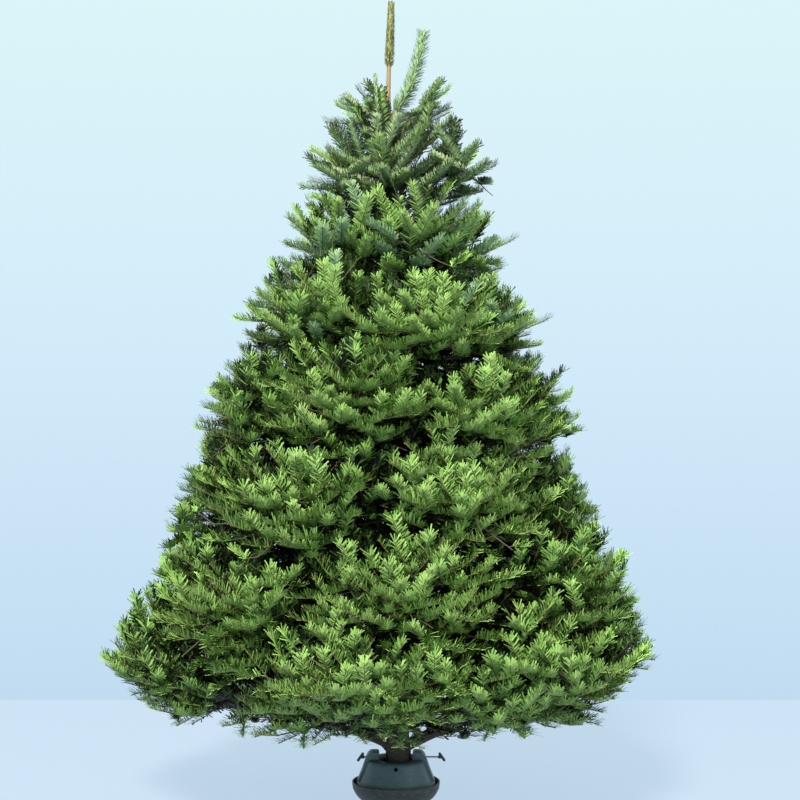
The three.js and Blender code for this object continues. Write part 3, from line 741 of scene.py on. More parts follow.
def add_gap_shoots(shoots, sets, rng):
    """Shoots from the nearest twig into places that may lie open."""
    spots = gap_spots(rng)
    points, owners, numbers, offset = [], [], [], 0
    for twigs in sets:
        index = np.arange(len(twigs.length))
        for t in GAP_ROOTS:
            points.append(twigs.point(index, np.full(len(index), t)))
            owners.append(twigs.owner)
            numbers.append(index + offset)
        offset += len(index)
    points, owners, numbers = np.concatenate(points), np.concatenate(owners), np.concatenate(numbers)
    tree = kdtree.KDTree(len(points))
    for number, point in enumerate(points):
        tree.insert(point, number)
    tree.balance()
    nearest = np.array([tree.find(spot)[1] for spot in spots])
    base = points[nearest]
    length = np.linalg.norm(spots - base, axis=1)
    near = (length > GAP_REACH[0]) & (length < GAP_REACH[1])
    nearest, base, length = nearest[near], base[near], length[near]
    axis = unit(spots[near] - base)
    shoots.add(base, axis, length, owners[nearest], numbers[nearest], WAIT_GAP)


def grow_foliage():
    rng = np.random.default_rng(TWIG_SEED)
    first, first_ends = grow_first_twigs(rng)
    finer, finer_ends = grow_finer_twigs(first, rng)
    shoots = Shoots()
    add_end_shoots(shoots, first, first_ends, 0)
    add_end_shoots(shoots, finer, finer_ends, len(first.length))
    add_side_shoots(shoots, first, 0, rng)
    add_side_shoots(shoots, finer, len(first.length), rng)
    add_bough_shoots(shoots, rng)
    add_gap_shoots(shoots, (first, finer), rng)
    shoots.join()
    fit_lengths(shoots)
    thin_out(shoots, rng)
    return shoots, first, finer


def fit_lengths(shoots):
    """Short shoots low down, long ones near the top, none too steep and none past the top whorl."""
    z = shoots.base[:, 2]
    ends = shoots.wait == WAIT_BOUGH_END
    shoots.length *= np.where(z < EYE_Z, LOW_SHOOT_SHARE, 1.0)
    shoots.length *= 1 + TOP_SHOOTS_LONGER * rise(z, TOP_FROM_Z, TOP_RUN) * ~ends
    shoots.length *= 1 + END_SHOOTS_LONGER * rise(z, EYE_Z, 0.2) * (z < LONG_ENDS_TO_Z) * ends
    steep = (z < LEVEL_BELOW_Z) & (shoots.axis[:, 2] > STEEPEST)
    outward = unit(shoots.base[steep] * LEVEL)
    level = unit(shoots.axis[steep] * LEVEL + LEVEL_OUTWARD * outward)
    shoots.axis[steep] = level * math.sqrt(1 - STEEPEST ** 2) + UP * STEEPEST
    over = z + shoots.axis[:, 2] * shoots.length - WHORL_TOP_Z
    cut = np.maximum(0, over) / np.maximum(shoots.axis[:, 2], 0.2)
    shoots.length -= np.minimum(cut, 0.5 * shoots.length)


def suits_crown(shoots, tips):
    """Which shoots keep to the crown: scalloped between the tiers, and hollow round the leader."""
    x, y, z = tips.T
    low = z < LOW_Z
    away = np.maximum(0, np.abs(z - TIP_HEIGHTS[shoots.owner]) - SCALLOP_FROM)
    scallop = SCALLOP + (SCALLOP_HIGH - SCALLOP) * rise(z, EYE_Z, 0.3)
    inset = INSET_LOW * rise(-z, -TOP_FROM_Z, 0.4)
    suits = shoots.depth > scallop * away + inset
    suits &= shoots.depth < SHELL_DEPTH + SHELL_DEEPER_LOW * low
    suits &= (z > CROWN_FLOOR_Z - BELOW_FLOOR) & (np.hypot(x, y) > TRUNK_CLEAR)
    aside = np.hypot(x - TRUNK_FOOT_X, HOLLOW_DEEPER * y)
    suits &= z < CROWN_TOP_Z - TOP_HOLLOW * np.maximum(0, TOP_HOLLOW_RADIUS - aside)
    droop = np.where(low, DROOP_LOW, DROOP)
    droop[(shoots.depth > HIDDEN_DEPTH) & ~low] = DROOP_HIDDEN
    suits &= shoots.axis[:, 2] > droop
    ends = shoots.wait == WAIT_BOUGH_END
    return suits | ends & ((aside > LEADER_CLEAR) | (z < LEADER_CLEAR_Z))


def thin_out(shoots, rng):
    """Shoots past the crown's outline go, and so do those crowded by one that came before."""
    tips = shoots.base + shoots.axis * shoots.length[:, None]
    shoots.depth = depth_of(tips, shoots.owner)
    shoots.keep(suits_crown(shoots, tips))
    middle = shoots.base + shoots.axis * shoots.length[:, None] * SHOOT_MIDDLE
    z = middle[:, 2]
    inside = np.where(z < LOW_Z, LOW_INSIDE_SHARE, 1.0) * SHOOT_GAP_INSIDE
    least = np.where(z < EYE_Z, SHOOT_GAP_LOW, SHOOT_GAP) + TOP_GAP_MORE * rise(z, TOP_FROM_Z, TOP_RUN)
    gap = least + inside * np.clip(shoots.depth - INSIDE_FROM, 0, INSIDE_RUN)
    wait = shoots.wait + np.clip(shoots.depth, 0, 1) + rng.random(len(gap)) * WAIT_SPREAD
    shoots.keep(stand_apart(middle, gap, np.argsort(wait)))


def stand_apart(points, gaps, order):
    """Takes the points in order and keeps each that stands clear of all those kept before."""
    cell = float(gaps.max())
    held = {}
    kept = np.zeros(len(points), bool)
    steps = [(i, j, k) for i in (-1, 0, 1) for j in (-1, 0, 1) for k in (-1, 0, 1)]
    cells = np.floor(points / cell).astype(int).tolist()
    spots = points.tolist()
    for number in order.tolist():
        x, y, z = spots[number]
        limit = gaps[number] ** 2
        a, b, c = cells[number]
        clear = True
        for i, j, k in steps:
            for u, v, w in held.get((a + i, b + j, c + k), ()):
                if (x - u) ** 2 + (y - v) ** 2 + (z - w) ** 2 < limit:
                    clear = False
                    break
            if not clear:
                break
        if clear:
            kept[number] = True
            held.setdefault((a, b, c), []).append((x, y, z))
    return kept


# Needles

def needle_set(length, rng, needle_length=NEEDLE_LENGTH, angles=NEEDLE_ANGLES, spread=NEEDLE_SPREAD,
               density=NEEDLES_PER_METRE, half_width=NEEDLE_HALF_WIDTH, upsweep=NEEDLE_UPSWEEP,
               first=0.0, crowding=1.0, ruffle=NEEDLE_RUFFLE, stem=NEEDLE_ROOTS, plain=False):
    """Needles on a straight shoot along +X with +Z as its upper side.

    Each has the four corners of its blade, and a fifth below unless it is plain.
    """
    count = int(length * (1 - first) * density)
    index = np.arange(count)
    share = first + (1 - first) * ((index + rng.uniform(*NEEDLE_PLACE, count)) / count) ** crowding
    jitter = rng.uniform(-NEEDLE_TURN_JITTER, NEEDLE_TURN_JITTER, count)
    turn = (index * GOLDEN_ANGLE / FULL_TURN + jitter) % 1 * 2 - 1
    azimuth = turn * spread
    # The needles on top lie closer to the shoot than those at its sides
    opening = angles[0] + (angles[1] - angles[0]) * share
    opening = opening * (1 - CLOSER_ON_TOP + CLOSER_ON_TOP * np.abs(turn))
    opening = opening * rng.uniform(1 - ruffle, 1 + ruffle, count)
    zero = np.zeros(count)
    radial = np.stack([zero, np.sin(azimuth), np.cos(azimuth)], -1)
    ahead = np.stack([np.cos(opening), zero, zero], -1) + radial * np.sin(opening)[:, None]
    ahead = unit(ahead + upsweep * UP)
    facing = FACING_UP * UP * (upsweep > 0) + FACING_OUT * radial
    facing = unit(facing - (facing * ahead).sum(-1, keepdims=True) * ahead)
    width = np.cross(ahead, facing) * half_width
    # They are a little shorter at both ends of the shoot
    size = needle_length * (1.0 - END_SHORTER * share ** 3)
    size = size * (1 - END_SHORTER + END_SHORTER * np.minimum(share / SHORT_FOR, 1))
    ruffled = rng.uniform(1 - RUFFLE_SHORTER * ruffle, 1 + RUFFLE_LONGER * ruffle, count)
    size = (size * ruffled)[:, None]
    thick = stem[0] + (stem[1] - stem[0]) * share
    root = np.stack([share * length, zero, zero], -1) + radial * thick[:, None]
    tip = root + ahead * size
    edge = BLADE_SHARE * width
    corners = [root - edge, root + edge, tip + edge, tip - edge]
    if not plain:
        corners.append(root - facing * NEEDLE_THICKNESS)
    along = np.repeat((share * length)[:, None], len(corners), 1)
    return np.stack(corners, 1), along


# The upper blade is one four-sided face and the pale underside one triangle below it
BLADE_CORNERS = 4
NEEDLE_LOOPS = np.array([0, 1, 2, 3, 4, 3, 2])
NEEDLE_STARTS = np.array([0, 4])


def shoot_bend(base):
    """How far a shoot curls up, as a share of its length: the low ones more."""
    return np.where(base[:, 2] < EYE_Z, SHOOT_BEND_LOW, SHOOT_BEND)


def place_needles(template, base, axis, length, template_length):
    """Copies of one needle set on many shoots, bent upwards a little towards their tips."""
    corners, along = template
    side, over = across(axis)
    scale = (length / template_length)[:, None, None, None]
    local = corners[None] * scale
    placed = base[:, None, None] + local[..., 0:1] * axis[:, None, None]
    placed = placed + local[..., 1:2] * side[:, None, None] + local[..., 2:3] * over[:, None, None]
    bend = shoot_bend(base)[:, None, None]
    lift = bend * (along * scale[..., 0]) ** 2 / length[:, None, None]
    return placed + lift[..., None] * UP


def link(name, data):
    """A new object in the scene that holds a mesh, a lamp or a camera."""
    holder = bpy.data.objects.new(name, data)
    bpy.context.scene.collection.objects.link(holder)
    return holder


def mesh_from_arrays(name, vertices, loops, starts, material_index, materials):
    mesh = bpy.data.meshes.new(name)
    mesh.vertices.add(len(vertices))
    mesh.vertices.foreach_set("co", vertices.astype(np.float32).ravel())
    mesh.loops.add(len(loops))
    mesh.loops.foreach_set("vertex_index", loops.astype(np.int32))
    mesh.polygons.add(len(starts))
    mesh.polygons.foreach_set("loop_start", starts.astype(np.int32))
    for finish in materials:
        mesh.materials.append(finish)
    mesh.polygons.foreach_set("material_index", material_index.astype(np.int32))
    mesh.update(calc_edges=True)
    mesh.validate()
    return link(name, mesh)


def needle_piece(name, blocks, tones, materials):
    """One piece from blocks of placed needles; tones gives the upper and lower colour of each."""
    vertices = np.concatenate([block.reshape(-1, 3) for block in blocks])
    upper = np.concatenate([needle_tones(t[0], b.shape[1]) for t, b in zip(tones, blocks)])
    lower = np.concatenate([np.repeat(t[1], b.shape[1]) for t, b in zip(tones, blocks)])
    corners = blocks[0].shape[2]
    count = len(vertices) // corners
    if corners == BLADE_CORNERS:
        loops, starts = np.arange(corners * count), corners * np.arange(count)
        return mesh_from_arrays(name, vertices, loops, starts, upper, materials)
    loops = (NEEDLE_LOOPS[None] + corners * np.arange(count)[:, None]).ravel()
    starts = (NEEDLE_STARTS[None] + len(NEEDLE_LOOPS) * np.arange(count)[:, None]).ravel()
    material_index = np.stack([upper, lower], 1).ravel()
    return mesh_from_arrays(name, vertices, loops, starts, material_index, materials)


def needle_tones(tones, needles):
    """The tone of every needle of a shoot: the outer part lighter, and each a little its own."""
    place = np.arange(needles)
    # A fixed shuffle, so that neighbours differ
    own = NEEDLE_TONES[(place * 7 + place // 5) % len(NEEDLE_TONES)]
    step = own + (place > YOUNG_PART * needles)
    plain = tones < BLUISH
    greens = np.clip(tones[:, None] + step[None], 0, BLUISH - 1)
    bluish = np.clip(tones[:, None] + step[None], BLUISH, BLUISH + 1)
    fixed = np.repeat(tones[:, None], needles, 1)
    dealt = np.where(plain[:, None], greens, np.where(tones[:, None] < LEADER_GREEN, bluish, fixed))
    return dealt.ravel()


def tubes(paths, radii, sides):
    """Open-ended round limbs joined in one set of arrays; every path has as many points."""
    paths = np.asarray(paths)
    radii = np.asarray(radii)
    count, steps, _ = paths.shape
    side, over = across(unit(np.gradient(paths, axis=1)))
    turns = np.arange(sides) / sides * FULL_TURN
    ring = side[:, :, None] * np.cos(turns)[:, None] + over[:, :, None] * np.sin(turns)[:, None]
    vertices = paths[:, :, None] + ring * radii[..., None, None]
    grid = np.arange(count * steps * sides).reshape(count, steps, sides)
    low, high = grid[:, :-1], grid[:, 1:]
    faces = np.stack([low, np.roll(low, -1, 2), np.roll(high, -1, 2), high], -1).reshape(-1, 4)
    return vertices.reshape(-1, 3), faces


def tube_piece(name, sets, materials):
    """One piece from several sets of tubes, with a material for each set."""
    vertices, loops, tone = [], [], []
    offset = 0
    for index, (points, faces) in enumerate(sets):
        vertices.append(points)
        loops.append(faces.ravel() + offset)
        tone.append(np.full(len(faces), index % len(materials)))
        offset += len(points)
    tone = np.concatenate(tone)
    starts = np.arange(len(tone)) * 4
    piece = mesh_from_arrays(
        name, np.concatenate(vertices), np.concatenate(loops), starts, tone, materials,
    )
    piece.data.shade_smooth()
    return piece


# Materials and the sky's nodes

class Wire:
    """A socket of a node, so that a material's maths reads as an expression."""

    def __init__(self, nodes, socket):
        self.nodes = nodes
        self.socket = socket

    def math(self, operation, first, second):
        return self.nodes.node("ShaderNodeMath", {"operation": operation}, {0: first, 1: second})

    def __add__(self, other):
        return self.math("ADD", self, other)

    def __sub__(self, other):
        return self.math("SUBTRACT", self, other)

    def __rsub__(self, other):
        return self.math("SUBTRACT", other, self)

    def __mul__(self, other):
        return self.math("MULTIPLY", self, other)

    def __pow__(self, other):
        return self.math("POWER", self, other)

    __radd__ = __add__
    __rmul__ = __mul__


class Nodes:
    """The nodes of a material or of the world, all made by one method."""

    def __init__(self, holder):
        holder.use_nodes = True
        self.tree = holder.node_tree

    def node(self, kind, settings=None, inputs=None, output=0):
        node = self.tree.nodes.new(kind)
        for key, value in (settings or {}).items():
            setattr(node, key, value)
        for key, value in (inputs or {}).items():
            self.give(node.inputs[key], value)
        return Wire(self, node.outputs[output])

    def give(self, socket, value):
        if isinstance(value, Wire):
            self.tree.links.new(value.socket, socket)
        else:
            socket.default_value = value


class Finish(Nodes):
    """A material, with the settings of its shader."""

    def __init__(self, name, **settings):
        self.material = bpy.data.materials.new(name)
        super().__init__(self.material)
        self.shader = self.tree.nodes["Principled BSDF"]
        self.feed(**settings)

    def feed(self, **links):
        for key, value in links.items():
            self.give(self.shader.inputs[key.replace("_", " ")], value)

    def place(self, scale=(1, 1, 1)):
        spot = self.node("ShaderNodeTexCoord", output="Object")
        return self.node("ShaderNodeMapping", inputs={"Vector": spot, "Scale": scale})

    def noise(self, scale, detail=3.0, roughness=0.5, stretch=(1, 1, 1)):
        return self.node("ShaderNodeTexNoise", inputs={
            "Vector": self.place(stretch), "Scale": scale, "Detail": detail, "Roughness": roughness,
        })

    def mix(self, factor, first, second):
        return self.node("ShaderNodeMix", {"data_type": "RGBA"}, {0: factor, 6: first, 7: second}, 2)

    def bump(self, height, distance, strength=1.0):
        return self.node("ShaderNodeBump", inputs={
            "Height": height, "Distance": distance, "Strength": strength,
        })


def paint(red, green, blue):
    """A colour from the usual 0 to 255 numbers."""
    def straight(level):
        level = level / 255
        return level / 12.92 if level <= 0.04045 else ((level + 0.055) / 1.055) ** 2.4
    return (straight(red), straight(green), straight(blue), 1.0)


# Upper sides of needles from near-black greens, painted shade for the inside of the crown, to the
# young yellow-green tips, then two bluish ones, and the two of the leader's short needles
GREENS = [
    paint(7, 15, 4),
    paint(36, 58, 20),
    paint(92, 127, 56),
    paint(121, 154, 80),
    paint(127, 155, 82),
    paint(124, 151, 84),
    paint(82, 111, 70),
    paint(119, 149, 104),
    paint(104, 106, 56),
    paint(60, 64, 31),
]
# Undersides of needles: the first, a dark green, is painted shade for the deepest shoots, and the
# others are the needles' pale undersides
SILVERS = [
    paint(34, 54, 26),
    paint(102, 127, 78),
    paint(142, 161, 114),
]
BLUISH = 6
LEADER_GREEN = 8
FIRST_SILVER = len(GREENS)


def needle_finishes():
    finishes = []
    for kind, colours, roughness in (("upper", GREENS, 0.5), ("under", SILVERS, 0.65)):
        for i, colour in enumerate(colours):
            name = f"needle_{kind}_{i + 1}"
            finish = Finish(name, Base_Color=colour, Roughness=roughness, Specular_IOR_Level=0.2)
            finishes.append(finish.material)
    return finishes


def bark_finish(name, dark, light, relief):
    """Young fir bark: smooth and grey-brown, with fine cracks, pores and pale patches."""
    finish = Finish(name)
    patches = finish.noise(22.0, 4.0, 0.6, (1, 1, 0.6))
    grain = finish.noise(160.0, 5.0, 0.65, (1, 1, 0.35))
    pores = finish.node("ShaderNodeTexVoronoi", inputs={
        "Vector": finish.place((1, 1, 2.2)), "Scale": 95.0,
    })
    pore_mask = finish.node("ShaderNodeMapRange", inputs={
        "Value": pores, "From Min": 0.05, "From Max": 0.3,
    })
    tone = finish.mix(patches, dark, light)
    tone = finish.mix(grain * 0.55, tone, paint(70, 56, 44))
    tone = finish.mix((1 - pore_mask) * 0.5, tone, paint(140, 128, 108))
    height = grain * 0.6 + pore_mask * 0.4
    finish.feed(
        Base_Color=tone, Roughness=0.72 + grain * 0.2, Normal=finish.bump(height, relief),
    )
    return finish.material


def twig_finish(name, colour, other):
    finish = Finish(name)
    streaks = finish.noise(60.0, 3.0, 0.6)
    finish.feed(Base_Color=finish.mix(streaks, colour, other), Roughness=0.65 + streaks * 0.15)
    return finish.material


def plastic_finish(name, colour, worn, roughness):
    """Moulded plastic with a fine grain, faint cloudiness and light scuffs."""
    finish = Finish(name)
    cloud = finish.noise(14.0, 3.0, 0.6)
    grain = finish.noise(900.0, 2.0, 0.5)
    scuffs = finish.noise(55.0, 6.0, 0.75, (1, 1, 3.5)) ** 5.0
    tone = finish.mix(cloud * 0.35, colour, worn)
    tone = finish.mix(scuffs * 2.2, tone, paint(120, 128, 128))
    finish.feed(
        Base_Color=tone,
        Roughness=roughness + cloud * 0.12 + scuffs * 0.8,
        Normal=finish.bump(grain, 0.00006, 0.6),
    )
    return finish.material


def steel_finish():
    finish = Finish("screw_steel", Metallic=1.0)
    brushed = finish.noise(420.0, 3.0, 0.6, (0.15, 1, 1))
    finish.feed(
        Base_Color=finish.mix(brushed, paint(196, 198, 200), paint(228, 229, 230)),
        Roughness=0.22 + brushed * 0.18,
    )
    return finish.material


def wood_finish():
    """The sawn butt of the trunk, with its year rings."""
    finish = Finish("sawn_butt")
    spot = finish.node("ShaderNodeTexCoord", output="Object")
    rings = finish.node("ShaderNodeTexWave", {"wave_type": "RINGS", "rings_direction": "Z"}, {
        "Vector": spot, "Scale": 90.0, "Distortion": 1.2, "Detail": 2.0,
    })
    finish.feed(Base_Color=finish.mix(rings, paint(206, 178, 132), paint(166, 130, 84)), Roughness=0.8)
    return finish.material


# Modelling helpers

SHARP = 35


def new_piece(name, mesh_maker, finish, sharp=SHARP):
    """A piece from a bmesh that the maker has filled."""
    bm = bmesh.new()
    mesh_maker(bm)
    bmesh.ops.recalc_face_normals(bm, faces=bm.faces)
    mesh = bpy.data.meshes.new(name)
    bm.to_mesh(mesh)
    bm.free()
    mesh.materials.append(finish)
    mesh.shade_smooth()
    mesh.set_sharp_from_angle(angle=math.radians(sharp))
    return link(name, mesh)


def settle(piece, nodes=()):
    """Every piece rides on the tree's one body, and some stand for nodes of the solids."""
    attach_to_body(piece, "root")
    if nodes:
        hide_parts(*nodes)


def rounded(points, radius, steps=4, closed=False):
    """An outline whose corners are rounded by an arc-like curve of that reach."""
    points = [Vector(p) for p in points]
    count = len(points)
    result = []
    for i, corner in enumerate(points):
        if not closed and i in (0, count - 1):
            result.append(corner)
            continue
        before = points[i - 1]
        after = points[(i + 1) % count]
        reach_in = min(radius, (before - corner).length * CORNER_REACH)
        reach_out = min(radius, (after - corner).length * CORNER_REACH)
        start = corner + (before - corner).normalized() * reach_in
        end = corner + (after - corner).normalized() * reach_out
        for k in range(steps + 1):
            t = k / steps
            result.append((1 - t) ** 2 * start + 2 * t * (1 - t) * corner + t ** 2 * end)
    return result


def spin_outline(bm, outline, closed=False, steps=SPIN_STEPS, merge=TINY):
    """A turned shape about Z from an outline of radius and height."""
    corners = [bm.verts.new((p[0], 0, p[1])) for p in outline]
    edges = [bm.edges.new(pair) for pair in zip(corners, corners[1:])]
    if closed:
        edges.append(bm.edges.new((corners[-1], corners[0])))
    bmesh.ops.spin(
        bm, geom=corners + edges, cent=(0, 0, 0), axis=(0, 0, 1), angle=FULL_TURN,
        steps=steps, use_merge=True,
    )
    bmesh.ops.remove_doubles(bm, verts=bm.verts, dist=merge)


def bevel(bm, edges, offset, segments, clamped=False):
    bmesh.ops.bevel(
        bm, geom=edges, offset=offset, offset_type="OFFSET", segments=segments, profile=0.5,
        affect="EDGES", material=-1, clamp_overlap=clamped,
    )


def combine(piece, other, operation):
    """Joins to or cuts from a piece, and removes the other object."""
    joining = piece.modifiers.new("combine", "BOOLEAN")
    joining.operation = operation
    joining.solver = "EXACT"
    joining.object = other
    depsgraph = bpy.context.evaluated_depsgraph_get()
    result = bpy.data.meshes.new_from_object(piece.evaluated_get(depsgraph))
    piece.modifiers.clear()
    old = piece.data
    piece.data = result
    bpy.data.meshes.remove(old)
    spent = other.data
    bpy.data.objects.remove(other)
    bpy.data.meshes.remove(spent)
    piece.data.shade_smooth()
    piece.data.set_sharp_from_angle(angle=math.radians(SHARP))


def rod_along(bm, radius, low, high, z, axis):
    """A round rod along X or Y at some height, from low to high."""
    turn = Matrix.Rotation(math.pi / 2, 4, "Y" if axis == "X" else "X")
    middle = (low + high) / 2
    spot = Vector((middle, 0, z)) if axis == "X" else Vector((0, middle, z))
    bmesh.ops.create_cone(
        bm, cap_ends=True, segments=ROD_SIDES, radius1=radius, radius2=radius, depth=high - low,
        matrix=Matrix.Translation(spot) @ turn,
    )


# Stand

def build_dish(finish):
    # Radius and height, from the middle of the underside over the rim to the top of the boss
    outline = [
        (0, 0), (DISH_FOOT_RADIUS, 0), (DISH_FOOT_RADIUS + 0.003, 0.008), (0.098, 0.017),
        (0.105, 0.025), (0.113, 0.04), (DISH_RIM_RADIUS, 0.053),
        (DISH_RIM_RADIUS, DISH_RIM_Z + 0.001), (DISH_RIM_RADIUS - WALL, DISH_RIM_Z + 0.001),
        (DISH_RIM_RADIUS - WALL - 0.002, 0.042), (0.101, 0.028), (0.093, 0.019), (0.082, 0.01),
        (0.074, DISH_FLOOR), (BOSS_RADIUS + 0.002, DISH_FLOOR),
        (BOSS_RADIUS, TRUNK_CUT_Z - STEP), (0, TRUNK_CUT_Z - STEP),
    ]
    smooth = rounded(outline, DISH_ROUNDING)
    piece = new_piece("dish", lambda bm: spin_outline(bm, smooth), finish)
    settle(piece, ["stand_dish"])


def post_maker(side):
    """A buttress post with rounded shoulders and a rib that runs down the flare."""
    top = [
        (POST_INNER_X, POST_FOOT_Z), (POST_INNER_X, POST_TOP_Z), (0.067, POST_TOP_Z),
        (0.0755, 0.128),
    ]
    flare = [(radius + RIB_HEIGHT, z) for radius, z in reversed(FLARE_LINE[1:])]
    back = [(radius - POST_SUNK, z) for radius, z in FLARE_LINE[1:3]]
    back.append((FLARE_LINE[3][0] - 2 * POST_SUNK, POST_FOOT_Z))
    outline = rounded(top + flare, POST_ROUNDING, 3)[:-1]
    outline += [Vector(p) for p in [flare[-1], *back]]

    def fill(bm):
        corners = [bm.verts.new((side * p[0], -POST_WIDTH / 2, p[1])) for p in outline]
        face = bm.faces.new(corners)
        grown = bmesh.ops.extrude_face_region(bm, geom=[face])
        moved = [g for g in grown["geom"] if isinstance(g, bmesh.types.BMVert)]
        bmesh.ops.translate(bm, verts=moved, vec=(0, POST_WIDTH, 0))
        rims = [e for e in bm.edges if abs(e.verts[0].co.y - e.verts[1].co.y) < TINY]
        rims = [e for e in rims if min(v.co.z for v in e.verts) > 0.1]
        bevel(bm, rims, POST_EDGE, 5, clamped=True)
    return fill


def build_shell(finish):
    inner = [(radius - WALL, z - 0.0016) for radius, z in reversed(FLARE_LINE)]
    # Radius and height, from the foot up the outside, round the mouth and down the inside
    outline = [
        (0.07, DISH_FLOOR + STEP), (0.074, DISH_FLOOR + STEP), (0.091, 0.024), (0.101, 0.042),
        *FLARE_LINE,
        (0.0745, SHELL_TOP_Z), (0.049, SHELL_TOP_Z), (SHELL_MOUTH_RADIUS, SHELL_TOP_Z - 0.005),
        (SHELL_MOUTH_RADIUS, SHELL_TOP_Z - 0.014), (SHELL_MOUTH_RADIUS + 0.003, SHELL_TOP_Z - 0.014),
        (SHELL_MOUTH_RADIUS + WALL, SHELL_TOP_Z - WALL), (0.071, SHELL_TOP_Z - WALL),
        *inner,
        (0.087, 0.026),
    ]
    smooth = rounded(outline, SHELL_ROUNDING, 3, closed=True)
    piece = new_piece("collar", lambda bm: spin_outline(bm, smooth, closed=True), finish)
    for side in (1, -1):
        combine(piece, new_piece("post", post_maker(side), finish), "UNION")
    bores = {
        "lip_bore": (LIP_HOLE_RADIUS, -0.1, 0.1, LIP_HOLE_Z, "Y"),
        "screw_bore": (SCREW_BORE_RADIUS, -0.12, 0.12, SCREW_Z, "X"),
    }
    for name, rod in bores.items():
        combine(piece, new_piece(name, lambda bm: rod_along(bm, *rod), finish), "DIFFERENCE")
    settle(piece, ["stand_shell", "stand_collar"])


def build_screw(name, node, finish):
    """A threaded rod: a ridged outline turned about the screw's own axis."""
    low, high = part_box(node)
    inner, outer = (low.x, high.x) if low.x > 0 else (-high.x, -low.x)
    side = 1 if low.x > 0 else -1
    ridges = int((outer - inner) / THREAD_PITCH)
    outline = [(0, inner), (SCREW_RADIUS - SCREW_CHAMFER, inner)]
    for i in range(ridges):
        start = inner + THREAD_LEAD + i * THREAD_PITCH * THREAD_SHARE
        outline.append((SCREW_RADIUS - THREAD_DEPTH, start))
        outline.append((SCREW_RADIUS, start + THREAD_PITCH / 2))
    outline += [(SCREW_RADIUS - SCREW_CHAMFER, outer), (0, outer)]

    def fill(bm):
        spin_outline(bm, outline, steps=SCREW_STEPS, merge=1e-7)
        turn = Matrix.Rotation(side * math.pi / 2, 4, "Y")
        bmesh.ops.transform(bm, matrix=Matrix.Translation((0, 0, SCREW_Z)) @ turn, verts=bm.verts)
    settle(new_piece(name, fill, finish), [node])


def build_grip(name, node, end_x, finish):
    """A small slanted bar with rounded edges, on a short hub over the end of its screw."""
    side = 1 if end_x > 0 else -1
    near = end_x - side * GRIP_DEPTH
    middle = near + side * (GRIP_HUB_LENGTH + GRIP_THICKNESS / 2)

    def fill(bm):
        bar = bmesh.ops.create_cube(bm, size=1.0)["verts"]
        bmesh.ops.scale(bm, vec=(GRIP_THICKNESS, GRIP_THICKNESS, GRIP_LENGTH), verts=bar)
        bevel(bm, list(bm.edges), GRIP_EDGE, 5)
        slant = Matrix.Rotation(-side * GRIP_TILT, 4, "Y")
        place = Matrix.Translation((middle, 0, SCREW_Z))
        bmesh.ops.transform(bm, matrix=place @ slant, verts=bm.verts)
        hub = bmesh.ops.create_cone(
            bm, cap_ends=True, segments=ROD_SIDES, radius1=GRIP_HUB_RADIUS,
            radius2=GRIP_HUB_RADIUS * 0.9, depth=abs(middle - near),
            matrix=Matrix.Translation(((near + middle) / 2, 0, SCREW_Z))
            @ Matrix.Rotation(side * math.pi / 2, 4, "Y"),
        )["verts"]
        rim = {e for v in hub for e in v.link_edges}
        rim = [e for e in rim if all(abs(v.co.x - near) < TINY for v in e.verts)]
        bevel(bm, rim, HUB_EDGE, 3)
    settle(new_piece(name, fill, finish), [node])


# Trunk and boughs

def limb_maker(centres, radii, sides, relief, seed):
    """A limb drawn out ring by ring, with the bark's relief worked into each ring."""
    def fill(bm):
        ring = bmesh.ops.create_circle(bm, segments=sides, radius=1.0, cap_ends=False)["verts"]
        edges = list(bm.edges)
        side, over = across(unit(np.gradient(centres, axis=0)))
        for i, centre in enumerate(centres):
            if i:
                grown = bmesh.ops.extrude_edge_only(bm, edges=edges)["geom"]
                ring = [g for g in grown if isinstance(g, bmesh.types.BMVert)]
                fresh = set(ring)
                edges = [g for g in grown if isinstance(g, bmesh.types.BMEdge)]
                edges = [e for e in edges if e.verts[0] in fresh and e.verts[1] in fresh]
            for vertex in ring:
                if i:
                    angle = angle_of(vertex.co, centres[i - 1], side[i - 1], over[i - 1])
                else:
                    angle = math.atan2(vertex.co.y, vertex.co.x)
                out = side[i] * math.cos(angle) + over[i] * math.sin(angle)
                grain = bark_relief(Vector(centre + out * radii[i]), seed)
                vertex.co = Vector(centre + out * (radii[i] + relief * grain))
        bmesh.ops.holes_fill(bm, edges=[e for e in bm.edges if e.is_boundary], sides=0)
    return fill


def bark_relief(spot, seed):
    """Rough bark, with cracks that run along the limb."""
    rough = noise.fractal(spot * ROUGH_SCALE + Vector((seed, 0, 0)), 0.8, 2.0, 4)
    drawn = Vector((spot.x * CRACKS_ACROSS, spot.y * CRACKS_ACROSS, spot.z * CRACKS_ALONG + seed))
    return rough - 0.5 * noise.ridged_multi_fractal(drawn, 0.9, 2.0, 3, 0.8, 2.0)


def angle_of(spot, centre, side, over):
    offset = np.array(spot) - centre
    return math.atan2(float(offset @ over), float(offset @ side))


def build_trunk(bark, butt, young):
    shares = np.linspace(0, 1, TRUNK_RINGS) ** RINGS_CLOSER_LOW
    heights = TRUNK_CUT_Z + (TRUNK_END_Z - TRUNK_CUT_Z) * shares
    radii = trunk_radius(heights) + whorl_swelling(heights)
    maker = limb_maker(trunk_centre(heights), radii, TRUNK_SIDES, TRUNK_RELIEF, TRUNK_SEED)
    piece = new_piece("bark_trunk", maker, bark, BARK_SHARP)
    piece.data.materials.append(butt)
    piece.data.materials.append(young)
    for face in piece.data.polygons:
        if face.center.z > YOUNG_TRUNK_Z:
            face.material_index = 2
        if face.normal.z < -0.9 and face.center.z < TRUNK_CUT_Z + 0.003:
            face.material_index = 1
    settle(piece, ["trunk"])


